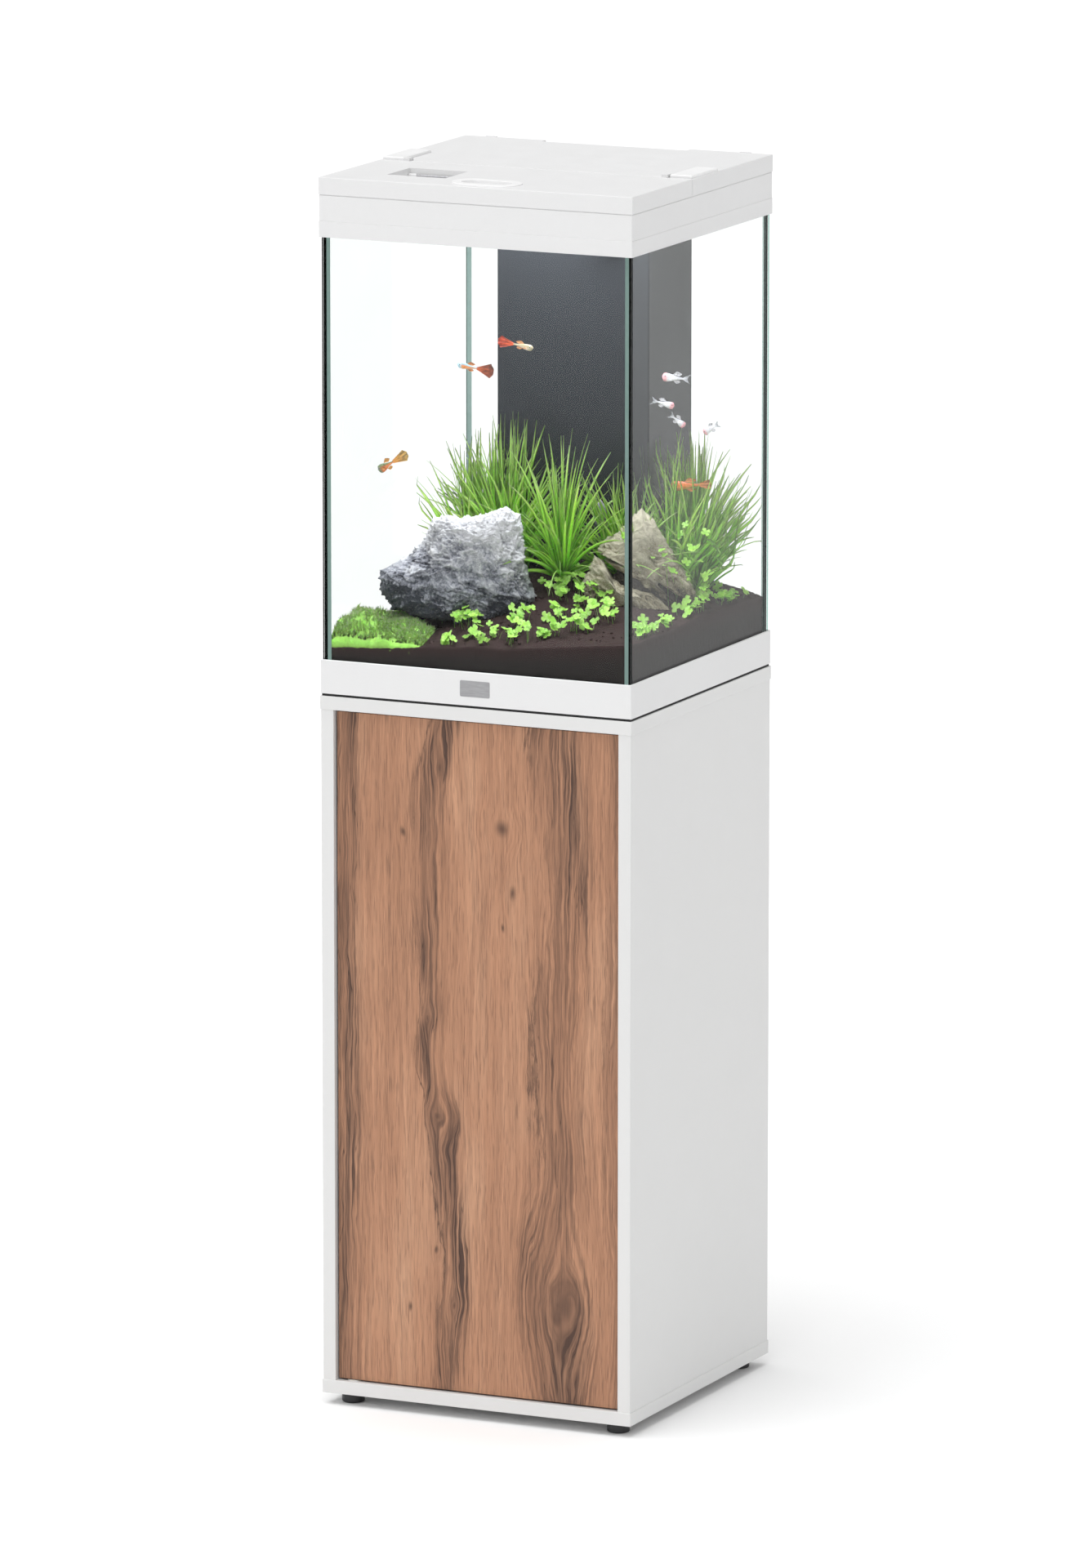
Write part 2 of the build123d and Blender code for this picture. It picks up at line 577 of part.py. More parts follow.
with BuildPart() as pump_body:
    block((spigot_x - pump_half, pump_y - pump_half, pump_low_z),
          (spigot_x + pump_half, pump_y + pump_half, pump_high_z))
    fillet(pump_body.edges().filter_by(Axis.Z), 5.0)
    spigot_reach = 13.0
    spigot = Plane((spigot_x, chamber_front_y - column_wall - spigot_reach, spigot_z), z_dir=(0, 1, 0))
    round_bar(spigot, spigot_radius, pump_y - pump_half - chamber_front_y + column_wall + spigot_reach + 1)
    round_bar(Plane((spigot_x, pump_y, volute_z)), volute_radius, volute_height, Mode.SUBTRACT)
    round_bar(Plane((spigot_x, pump_y, rotor_low_z - 1)), rotor_well_radius,
              volute_z - rotor_low_z + 2, Mode.SUBTRACT)
    round_bar(spigot, spigot_radius - 2.0, pump_y - volute_radius + 4 - spigot.origin.Y, Mode.SUBTRACT)
    round_bar(Plane((spigot_x, pump_y, volute_z + volute_height - 1)), 8.0, 30.0, Mode.SUBTRACT)
    # A rib across the inlet holds the top of the shaft; the bottom of the well holds the other end.
    block((spigot_x - 9.0, pump_y - 2.5, pump_high_z - 4.0), (spigot_x + 9.0, pump_y + 2.5, pump_high_z))
    round_bar(Plane((spigot_x, pump_y, pump_low_z + 2.0)), shaft_radius + seat_clearance,
              pump_high_z - 2.0 - pump_low_z - 2.0, Mode.SUBTRACT)
pump_body.part.label = "pump_body"
export_step(pump_body.part, "parts/pump_body.step")

with BuildPart() as pump_shaft:
    round_bar(Plane((spigot_x, pump_y, pump_low_z + 2.5)), shaft_radius, pump_high_z - pump_low_z - 5.0)
pump_shaft.part.label = "pump_shaft"
export_step(pump_shaft.part, "parts/pump_shaft.step")

with BuildPart() as impeller:
    vane_z = volute_z + 3.0
    round_bar(Plane((spigot_x, pump_y, rotor_low_z)), rotor_radius, vane_z - rotor_low_z)
    round_bar(Plane((spigot_x, pump_y, vane_z)), 5.0, 11.0)
    vane_middle = (vane_radius + 4.0) / 2
    with Locations((spigot_x, pump_y, vane_z)):
        with PolarLocations(vane_middle, 6):
            Box(vane_radius - 4.0, 1.6, 10.0, align=ON_FLOOR)
    round_bar(Plane((spigot_x, pump_y, rotor_low_z)), shaft_radius + running_clearance, 60.0, Mode.SUBTRACT)
impeller.part.label = "impeller"
export_step(impeller.part, "parts/impeller.step")

# ------------------------------------------------------------------ outlet nozzle, turning on the spigot
nozzle_wall = 2.2
nozzle_socket = 14.0
nozzle_rear_y = column_front_y - 0.6
nozzle_front_y = nozzle_rear_y - nozzle_socket
spout_turn = math.radians(40.0)
spout_length = 30.0
spout_start = Plane((spigot_x, nozzle_front_y, spigot_z), x_dir=(math.cos(spout_turn), -math.sin(spout_turn), 0),
                    z_dir=(-math.sin(spout_turn), -math.cos(spout_turn), 0))
with BuildPart() as outlet_nozzle:
    outer = spigot_radius + running_clearance + nozzle_wall
    round_bar(Plane((spigot_x, nozzle_rear_y, spigot_z), z_dir=(0, -1, 0)), outer, nozzle_socket)
    with Locations((spigot_x, nozzle_front_y, spigot_z)):
        Sphere(outer)
    with BuildSketch(spout_start.offset(4.0)):
        Circle(outer - 1.5)
    with BuildSketch(spout_start.offset(spout_length)):
        Ellipse(13.5, 4.4)
    loft()
    round_bar(Plane((spigot_x, nozzle_rear_y + 1, spigot_z), z_dir=(0, -1, 0)),
              spigot_radius + running_clearance, nozzle_socket + 1, Mode.SUBTRACT)
    with Locations((spigot_x, nozzle_front_y, spigot_z)):
        Sphere(spigot_radius - 0.5, mode=Mode.SUBTRACT)
    with BuildSketch(spout_start.offset(3.0)):
        Circle(outer - 4.0)
    with BuildSketch(spout_start.offset(spout_length + 0.5)):
        Ellipse(11.0, 2.2)
    loft(mode=Mode.SUBTRACT)
outlet_nozzle.part.label = "outlet_nozzle"
export_step(outlet_nozzle.part, "parts/outlet_nozzle.step")

# ------------------------------------------------------------------ heater
heater_x = 16.0
heater_y = chamber_rear_y - 24.0
heater_low_z = column_top_z - 250.0
heater_radius = 10.0
heater_glass_length = 190.0
heater_cap_radius = 11.5
heater_cap_height = 30.0
dial_radius = 9.0
dial_height = 9.0
dial_stem_radius = 3.0
dial_stem = 7.0
cap_z = heater_low_z + heater_glass_length
dial_z = cap_z + heater_cap_height

with BuildPart() as heater_tube:
    round_bar(Plane((heater_x, heater_y, heater_low_z)), heater_radius, heater_glass_length)
    fillet(heater_tube.edges().group_by(Axis.Z)[0], 6.0)
heater_tube.part.label = "heater_tube"
export_step(heater_tube.part, "parts/heater_tube.step")

with BuildPart() as heater_cap:
    round_bar(Plane((heater_x, heater_y, cap_z)), heater_cap_radius, heater_cap_height)
    fillet(heater_cap.edges().group_by(Axis.Z)[-1], 1.5)
    # Cord gland on the side of the cap.
    round_bar(Plane((heater_x, heater_y - heater_cap_radius + 2, dial_z - 12.0), z_dir=(0, -1, 0)), 5.0, 10.0)
    round_bar(Plane((heater_x, heater_y - heater_cap_radius - 4, dial_z - 12.0), z_dir=(0, -1, 0)), 2.5, 5.0,
              Mode.SUBTRACT)
    round_bar(Plane((heater_x, heater_y, dial_z - dial_stem - 0.5)), dial_stem_radius + running_clearance,
              dial_stem + 0.5, Mode.SUBTRACT)
heater_cap.part.label = "heater_cap"
export_step(heater_cap.part, "parts/heater_cap.step")

with BuildPart() as heater_dial:
    round_bar(Plane((heater_x, heater_y, dial_z + 0.4)), dial_radius, dial_height)
    with Locations((heater_x, heater_y, dial_z + 0.4 + dial_height / 2)):
        with PolarLocations(dial_radius + 0.4, 24):
            Cylinder(0.9, dial_height, mode=Mode.SUBTRACT)
    round_bar(Plane((heater_x, heater_y, dial_z - dial_stem)), dial_stem_radius, dial_stem + 0.4)
heater_dial.part.label = "heater_dial"
export_step(heater_dial.part, "parts/heater_dial.step")

clip_height = 8.0
clip_wall = 2.5
cup_radius = 13.0
cup_thickness = 3.0
with BuildPart() as heater_clips:
    for clip_z in (heater_low_z + 30.0, heater_low_z + 140.0):
        round_bar(Plane((heater_x, heater_y, clip_z)), heater_radius + clip_wall, clip_height)
        round_bar(Plane((heater_x, chamber_rear_y, clip_z + clip_height / 2), z_dir=(0, -1, 0)), cup_radius,
                  cup_thickness)
        block((heater_x - 3.0, heater_y + heater_radius + 1, clip_z),
              (heater_x + 3.0, chamber_rear_y - cup_thickness + 0.5, clip_z + clip_height))
        round_bar(Plane((heater_x, heater_y, clip_z - 1)), heater_radius + running_clearance, clip_height + 2,
                  Mode.SUBTRACT)
        block((heater_x - 7.0, heater_y - heater_radius - clip_wall - 1, clip_z - 1),
              (heater_x + 7.0, heater_y - heater_radius + 4.0, clip_z + clip_height + 1), Mode.SUBTRACT)
heater_clips.part.label = "heater_clips"
export_step(heater_clips.part, "parts/heater_clips.step")

# ================================================================== the hood
hood_outer_x = tank_width
hood_outer_y = tank_depth
hood_wall = 2.5
hood_web = 3.0
lid_half_x = tank_width / 2 + lid_proud
lid_half_y = tank_depth / 2 - 0.2
upstand_half_x = lid_half_x - reveal_depth
upstand_half_y = lid_half_y - reveal_depth
upstand_inner = 12.0  # width of the ledge that carries the lid
lid_front_edge_y = seam_y + seam_gap / 2
flap_rear_y = seam_y - seam_gap / 2
notch_half = 94.0
notch_depth = 12.0
notch_front_y = lid_half_y - notch_depth
web_top_z = lid_z - reveal_height
clip_x = 165.0
rear_clip_width = 14.0
rear_clip_rise = 1.2
rear_clip_low_z = lid_z - 9.0
rear_clip_depth = 2.0

with BuildPart() as hood_frame:
    with BuildSketch(Plane.XY.offset(hood_z)):
        RectangleRounded(hood_outer_x, hood_outer_y, 1.5)
        Rectangle(hood_outer_x - 2 * hood_wall, hood_outer_y - 2 * hood_wall, mode=Mode.SUBTRACT)
    extrude(amount=web_top_z - hood_z)
    with BuildSketch(Plane.XY.offset(web_top_z - hood_web)):
        Rectangle(hood_outer_x - 1, hood_outer_y - 1)
        Rectangle(2 * (upstand_half_x - upstand_inner), 2 * (upstand_half_y - upstand_inner),
                  mode=Mode.SUBTRACT)
    extrude(amount=hood_web)
    with BuildSketch(Plane.XY.offset(web_top_z)):
        Rectangle(2 * upstand_half_x, 2 * upstand_half_y)
        Rectangle(2 * (upstand_half_x - upstand_inner), 2 * (upstand_half_y - upstand_inner),
                  mode=Mode.SUBTRACT)
    extrude(amount=reveal_height)
    # Hoses and cords leave through a gap in the rear wall.
    block((-notch_half, upstand_half_y - upstand_inner - 1, hood_z),
          (notch_half, hood_outer_y / 2 + 1, lid_z), Mode.SUBTRACT)
    for side in MIRRORED:
        block((side * clip_x - rear_clip_width / 2 - 0.2, lid_half_y - rear_clip_depth, rear_clip_low_z - 0.2),
              (side * clip_x + rear_clip_width / 2 + 0.2, lid_half_y + 3, lid_z), Mode.SUBTRACT)
hood_frame.part.label = "hood_frame"
export_step(hood_frame.part, "parts/hood_frame.step")

block_outer_x = lid_half_x - 1.85
block_inner_x = block_outer_x - hinge_block_width
block_low_z = lid_top_z - 7.0
block_top_z = lid_top_z + hinge_block_rise
block_rear_y = lid_front_edge_y + hinge_block_depth
flap_axis_y = lid_front_edge_y + flap_axis_behind_edge
flap_axis_z = lid_top_z + 1.0
lug_radius = 2.5
lug_width = 7.5
lug_gap = 1.5
lug_outer_x = block_inner_x - lug_gap
lug_inner_x = lug_outer_x - lug_width
pin_in_block = 14.0
seam_skirt_low_z = lid_top_z - 13.0

with BuildPart() as rear_lid:
    block((-lid_half_x, lid_front_edge_y, lid_z), (lid_half_x, lid_half_y, lid_top_z))
    chamfer(rear_lid.faces().sort_by(Axis.Z)[-1].edges(), 0.6)
    block((-lid_half_x + shell, lid_front_edge_y + shell, lid_z), (lid_half_x - shell, lid_half_y - shell,
                                                                  lid_top_z - shell), Mode.SUBTRACT)
    block((-lid_half_x + shell, lid_front_edge_y - 1, lid_z - 1),
          (lid_half_x - shell, lid_front_edge_y + shell + 1, seam_skirt_low_z), Mode.SUBTRACT)
    # The notch for hoses has walls of its own.
    block((-notch_half - shell, notch_front_y - shell, lid_z),
          (notch_half + shell, lid_half_y - shell, lid_top_z - shell))
    block((-notch_half, notch_front_y, lid_z - 1), (notch_half, lid_half_y + 1, lid_top_z + 1), Mode.SUBTRACT)
    for side in MIRRORED:
        near, far = sorted((side * (block_inner_x - 0.1), side * (block_outer_x + 0.1)))
        block((near, lid_front_edge_y - 1, block_low_z - 0.1), (far, block_rear_y + 0.1, lid_top_z + 1),
              Mode.SUBTRACT)
        near, far = sorted((side * (lug_inner_x - 0.6), side * (block_inner_x - 0.1)))
        block((near, lid_front_edge_y - 1, block_low_z - 0.1),
              (far, flap_axis_y + lug_radius + 0.6, lid_top_z + 1), Mode.SUBTRACT)
        block((side * clip_x - rear_clip_width / 2 - 0.2, lid_half_y - rear_clip_depth, lid_z - 1),
              (side * clip_x + rear_clip_width / 2 + 0.2, lid_half_y + 1, lid_top_z + 1), Mode.SUBTRACT)
rear_lid.part.label = "rear_lid"
export_step(rear_lid.part, "parts/rear_lid.step")

with BuildPart() as hinge_blocks:
    for side in MIRRORED:
        near, far = sorted((side * block_inner_x, side * block_outer_x))
        block((near, lid_front_edge_y, block_low_z), (far, block_rear_y, block_top_z))
    chamfer(hinge_blocks.faces().filter_by(Axis.Z).group_by(Axis.Z)[-1].edges(), 0.8)
    for side in MIRRORED:
        round_bar(Plane((side * block_inner_x, flap_axis_y, flap_axis_z), z_dir=(side, 0, 0)),
                  flap_pin_diameter / 2 + seat_clearance, pin_in_block, Mode.SUBTRACT)
hinge_blocks.part.label = "hinge_blocks"
export_step(hinge_blocks.part, "parts/hinge_blocks.step")

with BuildPart() as hinge_pins:
    pin_length = lug_width + lug_gap + pin_in_block - 0.5
    for side in MIRRORED:
        round_bar(Plane((side * lug_inner_x, flap_axis_y, flap_axis_z), z_dir=(side, 0, 0)),
                  flap_pin_diameter / 2, pin_length)
hinge_pins.part.label = "hinge_pins"
export_step(hinge_pins.part, "parts/hinge_pins.step")

with BuildPart() as rear_clips:
    for side in MIRRORED:
        block((side * clip_x - rear_clip_width / 2, lid_half_y - rear_clip_depth, rear_clip_low_z),
              (side * clip_x + rear_clip_width / 2, lid_half_y + 0.5, lid_top_z + rear_clip_rise))
    chamfer(rear_clips.edges().filter_by(Axis.X), 0.4)
rear_clips.part.label = "rear_clips"
export_step(rear_clips.part, "parts/rear_clips.step")

# ------------------------------------------------------------------ lamp under the rear lid
lamp_length = 300.0
lamp_front_y = lid_front_edge_y + 14.0
lamp_rear_y = lamp_front_y + 70.0
lamp_low_z = lid_z - 5.0
lamp_high_z = lid_z + 7.0
lamp_middle_y = (lamp_front_y + lamp_rear_y) / 2
cover_thickness = 2.0
end_cap = 3.0
fin_pitch = 7.0
fin_count = 9

with BuildPart() as lamp_housing:
    block((-lamp_length / 2, lamp_front_y, lamp_low_z), (lamp_length / 2, lamp_rear_y, lamp_high_z))
    fillet(lamp_housing.edges().filter_by(Axis.X), 1.5)
    block((-lamp_length / 2 - 1, lamp_front_y + 4, lamp_low_z - 1),
          (lamp_length / 2 + 1, lamp_rear_y - 4, lamp_low_z + 4.0), Mode.SUBTRACT)
    with Locations((0, lamp_middle_y, lamp_high_z)):
        with GridLocations(1, fin_pitch, 1, fin_count):
            Box(lamp_length + 2, 4.0, 5.0, mode=Mode.SUBTRACT)
lamp_housing.part.label = "lamp_housing"
export_step(lamp_housing.part, "parts/lamp_housing.step")

with BuildPart() as lamp_cover:
    block((-lamp_length / 2, lamp_front_y + 4.2, lamp_low_z), (lamp_length / 2, lamp_rear_y - 4.2,
                                                              lamp_low_z + cover_thickness))
lamp_cover.part.label = "lamp_cover"
export_step(lamp_cover.part, "parts/lamp_cover.step")

with BuildPart() as led_strips:
    for y in (lamp_middle_y - 16.0, lamp_middle_y + 16.0):
        block((-lamp_length / 2 + 4, y - 5.0, lamp_low_z + 3.2), (lamp_length / 2 - 4, y + 5.0, lamp_low_z + 4.0))
        with Locations((0, y, lamp_low_z + 2.8)):
            with GridLocations(14.0, 1, 20, 1):
                Box(5.0, 5.0, 1.0)
led_strips.part.label = "led_strips"
export_step(led_strips.part, "parts/led_strips.step")

with BuildPart() as lamp_end_caps:
    for side in MIRRORED:
        near, far = sorted((side * lamp_length / 2, side * (lamp_length / 2 + end_cap)))
        block((near, lamp_front_y, lamp_low_z), (far, lamp_rear_y, lamp_high_z))
    fillet(lamp_end_caps.edges().filter_by(Axis.X), 1.5)
    # Cord gland on the right-hand cap.
    round_bar(Plane((lamp_length / 2 + end_cap, lamp_middle_y, lamp_high_z - 6.0), z_dir=(1, 0, 0)), 4.0, 9.0)
    round_bar(Plane((lamp_length / 2 + end_cap + 9.0, lamp_middle_y, lamp_high_z - 6.0), z_dir=(-1, 0, 0)),
              2.2, 6.0, Mode.SUBTRACT)
lamp_end_caps.part.label = "lamp_end_caps"
export_step(lamp_end_caps.part, "parts/lamp_end_caps.step")

with BuildPart() as lamp_brackets:
    for x in (-90.0, 90.0):
        for y in (lamp_middle_y - 14.0, lamp_middle_y + 14.0):
            block((x - 8, y - 1.5, lamp_high_z), (x + 8, y + 1.5, lid_top_z - shell))
        block((x - 8, lamp_middle_y - 14.0, lid_top_z - shell - 2.0), (x + 8, lamp_middle_y + 14.0,
                                                                      lid_top_z - shell))
lamp_brackets.part.label = "lamp_brackets"
export_step(lamp_brackets.part, "parts/lamp_brackets.step")

# ================================================================== the front flap
hatch_width = 75.0
hatch_depth = 61.0
hatch_x = -99.5
hatch_y = -115.5
tray_wall = 2.0
tray_low_z = lid_top_z - 12.5
tray_lip = 1.5
tray_lip_width = 3.0
hatch_cover_thickness = 2.0
hatch_clearance = 0.5
hatch_left_x = hatch_x - hatch_width / 2
hatch_right_x = hatch_x + hatch_width / 2
hatch_front_y = hatch_y - hatch_depth / 2
hatch_rear_y = hatch_y + hatch_depth / 2
hatch_plate_z = tray_low_z + tray_lip
hatch_pin_radius = 1.0
hatch_knuckle_radius = 2.0
hatch_axis_y = hatch_rear_y - 2.8
hatch_axis_z = hatch_plate_z + hatch_cover_thickness + 1.2
hatch_tail = 1.5  # the cover's plate runs this far behind its axis
hatch_swing_room = hatch_tail + 1.5  # the lips end ahead of the axis, so that the tail swings free
grip_length = 86.0
grip_depth = 50.0
grip_y = -165.0
grip_rim = 12.0
grip_rise = 1.6
grip_bowl_wall = 3.0
grip_bowl_depth = 14.0
grip_inner_length = grip_length - 2 * grip_rim
grip_inner_depth = grip_depth - 2 * grip_rim
bowl_length = grip_inner_length + 2 * grip_bowl_wall
bowl_depth = grip_inner_depth + 2 * grip_bowl_wall
fit_gap = 0.1

with BuildPart() as front_flap:
    block((-lid_half_x, -lid_half_y, lid_z), (lid_half_x, flap_rear_y, lid_top_z))
    chamfer(front_flap.faces().sort_by(Axis.Z)[-1].edges(), 0.6)
    block((-lid_half_x + shell, -lid_half_y + shell, lid_z), (lid_half_x - shell, flap_rear_y - shell,
                                                             lid_top_z - shell), Mode.SUBTRACT)
    block((-lid_half_x + shell, flap_rear_y - shell - 1, lid_z - 1),
          (lid_half_x - shell, flap_rear_y + 1, seam_skirt_low_z), Mode.SUBTRACT)
    block((hatch_left_x - tray_wall, hatch_front_y - tray_wall, tray_low_z),
          (hatch_right_x + tray_wall, hatch_rear_y + tray_wall, lid_top_z - shell))
    block((hatch_left_x, hatch_front_y, hatch_plate_z), (hatch_right_x, hatch_rear_y, lid_top_z + 1),
          Mode.SUBTRACT)
    block((hatch_left_x + tray_lip_width, hatch_front_y + tray_lip_width, tray_low_z - 1),
          (hatch_right_x - tray_lip_width, hatch_rear_y, lid_top_z), Mode.SUBTRACT)
    block((hatch_left_x, hatch_axis_y - hatch_swing_room, tray_low_z - 1),
          (hatch_right_x, hatch_rear_y, lid_top_z), Mode.SUBTRACT)
    with BuildSketch(Plane.XY.offset(lid_z)):
        with Locations((0, grip_y)):
            SlotOverall(bowl_length + 2 * fit_gap, bowl_depth + 2 * fit_gap)
    extrude(amount=lid_height, mode=Mode.SUBTRACT)
    for side in MIRRORED:
        lug_end = Plane((side * lug_inner_x, flap_axis_y, flap_axis_z), z_dir=(side, 0, 0))
        round_bar(lug_end, lug_radius, lug_width)
        near, far = sorted((side * lug_inner_x, side * lug_outer_x))
        block((near, flap_rear_y - 3.0, lid_top_z - shell), (far, flap_axis_y, flap_axis_z + lug_radius))
        round_bar(lug_end, flap_pin_diameter / 2 + running_clearance, lug_width, Mode.SUBTRACT)
    round_bar(Plane((hatch_left_x - tray_wall, hatch_axis_y, hatch_axis_z), z_dir=(1, 0, 0)),
              hatch_pin_radius + seat_clearance, hatch_width + 2 * tray_wall, Mode.SUBTRACT)
front_flap.part.label = "front_flap"
export_step(front_flap.part, "parts/front_flap.step")

with BuildPart() as grip_ring:
    with BuildSketch(Plane.XY.offset(lid_top_z)):
        with Locations((0, grip_y)):
            SlotOverall(grip_length, grip_depth)
    extrude(amount=grip_rise)
    fillet(grip_ring.faces().sort_by(Axis.Z)[-1].edges(), 1.2)
    with BuildSketch(Plane.XY.offset(lid_top_z - grip_bowl_depth)):
        with Locations((0, grip_y)):
            SlotOverall(bowl_length, bowl_depth)
    extrude(amount=grip_bowl_depth)
    with BuildSketch(Plane.XY.offset(lid_top_z - grip_bowl_depth + grip_bowl_wall)):
        with Locations((0, grip_y)):
            SlotOverall(grip_inner_length, grip_inner_depth)
    extrude(amount=grip_bowl_depth + grip_rise, mode=Mode.SUBTRACT)
    inner_edges = grip_ring.edges().group_by(Axis.Z)[-1]
    fillet(inner_edges.sort_by(SortBy.LENGTH)[:4], 0.8)
grip_ring.part.label = "grip_ring"
export_step(grip_ring.part, "parts/grip_ring.step")

# ------------------------------------------------------------------ feeding hatch
with BuildPart() as hatch_cover:
    cover_left_x = hatch_left_x + hatch_clearance
    cover_right_x = hatch_right_x - hatch_clearance
    block((cover_left_x, hatch_front_y + hatch_clearance, hatch_plate_z),
          (cover_right_x, hatch_axis_y + hatch_tail, hatch_plate_z + hatch_cover_thickness))
    tab = 22.0
    block((hatch_x - tab / 2, hatch_front_y + 4.0, hatch_plate_z + hatch_cover_thickness),
          (hatch_x + tab / 2, hatch_front_y + 7.0, hatch_plate_z + hatch_cover_thickness + 3.0))
    chamfer(hatch_cover.faces().sort_by(Axis.Z)[-1].edges(), 0.6)
    for x in (cover_left_x, cover_right_x - 10.0):
        round_bar(Plane((x, hatch_axis_y, hatch_axis_z), z_dir=(1, 0, 0)), hatch_knuckle_radius, 10.0)
        block((x, hatch_axis_y - 2.0, hatch_plate_z), (x + 10.0, hatch_axis_y + hatch_tail, hatch_axis_z))
    round_bar(Plane((cover_left_x, hatch_axis_y, hatch_axis_z), z_dir=(1, 0, 0)),
              hatch_pin_radius + running_clearance, hatch_width, Mode.SUBTRACT)
hatch_cover.part.label = "hatch_cover"
export_step(hatch_cover.part, "parts/hatch_cover.step")

with BuildPart() as hatch_pin:
    round_bar(Plane((hatch_left_x - tray_wall + 0.2, hatch_axis_y, hatch_axis_z), z_dir=(1, 0, 0)),
              hatch_pin_radius, hatch_width + 2 * tray_wall - 0.4)
hatch_pin.part.label = "hatch_pin"
export_step(hatch_pin.part, "parts/hatch_pin.step")

# ================================================================== the planted layout
# Stones, plants and animals are plain closed solids of the right size and place.
soil_clearance = 0.4
soil_x = inner_x - soil_clearance
soil_y = inner_y - soil_clearance
soil_low_z = bottom_top_z + silicone + 0.3
crest_x = 20.0  # where the soil is highest across the tank
crest_y = 30.0
soil_rows = [  # y of the row, then heights at the left pane, the crest and the right pane
    (-soil_y, base_top_z + 13.0, base_top_z + 28.0, base_top_z + 43.0),
    (crest_y, base_top_z + 28.0, base_top_z + 94.0, base_top_z + 46.0),
    (soil_y, base_top_z + 42.0, base_top_z + 80.0, base_top_z + 41.0),
]


def soil_top(x, y):
    """Height of the soil: straight between neighbouring rows and, in a row, between wall and crest."""
    front, back = soil_rows[:2] if y < crest_y else soil_rows[1:]
    share = (y - front[0]) / (back[0] - front[0])
    left, middle, right = [a + (b - a) * share for a, b in zip(front[1:], back[1:])]
    if x < crest_x:
        return left + (middle - left) * (x + soil_x) / (crest_x + soil_x)
    return middle + (right - middle) * (x - crest_x) / (soil_x - crest_x)


# The grey stone: three outlines, one above the other.
grey_rows = [
    (base_top_z + 15.0, [(-125, -118), (-20, -132), (18, -100), (12, -52), (-110, -48)]),
    (base_top_z + 95.0, [(-156, -128), (-30, -138), (26, -104), (20, -44), (-130, -42)]),
    (base_top_z + 176.0, [(-68, -96), (-30, -104), (14, -92), (12, -62), (-60, -58)]),
]
with BuildPart() as grey_stone:
    for row_z, outline in grey_rows:
        with BuildSketch(Plane.XY.offset(row_z)):
            Polygon(*outline, align=None)
    loft(ruled=True)
grey_stone.part.label = "grey_stone"
export_step(grey_stone.part, "parts/grey_stone.step")

# Two brown slabs lean on each other with a dark gap between them, and a smaller stone stands behind.
slab_turn = math.radians(26.0)
slab_side = Plane((113.0, 15.0, base_top_z + 95.0), x_dir=(math.cos(slab_turn), math.sin(slab_turn), 0),
                  z_dir=(math.sin(slab_turn), -math.cos(slab_turn), 0))
upper_outline = [(-50, 32), (0, 76), (32, 22), (70, -46), (56, -52), (8, -2)]
lower_outline = [(-55, 8), (-44, 18), (5, -14), (46, -56), (40, -70), (-50, -64)]
with BuildPart() as brown_stones:
    with BuildSketch(slab_side.offset(-22.0)):
        Polygon(*upper_outline, align=None)
    extrude(amount=44.0)
    with BuildSketch(slab_side.offset(-16.0)):
        Polygon(*lower_outline, align=None)
    extrude(amount=50.0)
    with BuildSketch(Plane.XY.offset(base_top_z + 60.0)):
        with Locations((52, 48)):
            RegularPolygon(15.0, 6)
    with BuildSketch(Plane.XY.offset(base_top_z + 178.0)):
        with Locations((46, 50)):
            RegularPolygon(7.0, 6)
    loft(ruled=True)
brown_stones.part.label = "brown_stones"
export_step(brown_stones.part, "parts/brown_stones.step")

# Tufts of grass-like plants, as cones that open upwards: x, y, radius at the root and at the tips, height.
tufts = [
    (-118.0, 18.0, 24.0, 40.0, 175.0),
    (8.0, 18.0, 8.0, 26.0, 125.0),
    (141.0, 130.0, 24.0, 38.0, 170.0),
]
rooted = 8.0
with BuildPart() as grass_tufts:
    for x, y, root_radius, tip_radius, height in tufts:
        with Locations((x, y, soil_top(x, y) - rooted)):
            Cone(root_radius, tip_radius, height, align=ON_FLOOR)
grass_tufts.part.label = "grass_tufts"
export_step(grass_tufts.part, "parts/grass_tufts.step")

# Low plants: a mat of moss in the left front corner and small creeping plants.
moss_low = (-soil_x + bead, -soil_y + bead)
moss_high = (-78.0, -140.0)
moss_rise = 16.0
moss_z = soil_top(*moss_high)

creeper_spots = [(-40, -162), (-5, -172), (38, -160), (70, -110), (62, -150), (104, -128), (150, -150),
                 (160, -96), (180, 84)]
creeper_radius = 10.0
creeper_rise = 14.0
with BuildPart() as low_plants:
    block((*moss_low, moss_z - 14.0), (*moss_high, moss_z + moss_rise))
    chamfer(low_plants.faces().sort_by(Axis.Z)[-1].edges(), 6.0)
    for x, y in creeper_spots:
        with Locations((x, y, soil_top(x, y) - 4.0)):
            Cone(creeper_radius - 4.0, creeper_radius, creeper_rise + 4.0, align=ON_FLOOR)
low_plants.part.label = "low_plants"
export_step(low_plants.part, "parts/low_plants.step")

with BuildPart() as soil_bed:
    for y, left_z, crest_z, right_z in soil_rows:
        with BuildSketch(Plane((0, y, 0), x_dir=(1, 0, 0), z_dir=(0, -1, 0))):
            Polygon((-soil_x, soil_low_z), (soil_x, soil_low_z), (soil_x, right_z), (crest_x, crest_z),
                    (-soil_x, left_z), align=None)
    loft(ruled=True)
    column_gap = 0.6
    block((-column_x - column_gap, column_front_y - column_gap, soil_low_z - 1),
          (column_x + column_gap, soil_y + 1, column_top_z), Mode.SUBTRACT)
    for planted in (grey_stone, brown_stones, grass_tufts, low_plants, silicone_seams):
        add(planted.part, mode=Mode.SUBTRACT)
soil_bed.part.label = "soil_bed"
export_step(soil_bed.part, "parts/soil_bed.step")

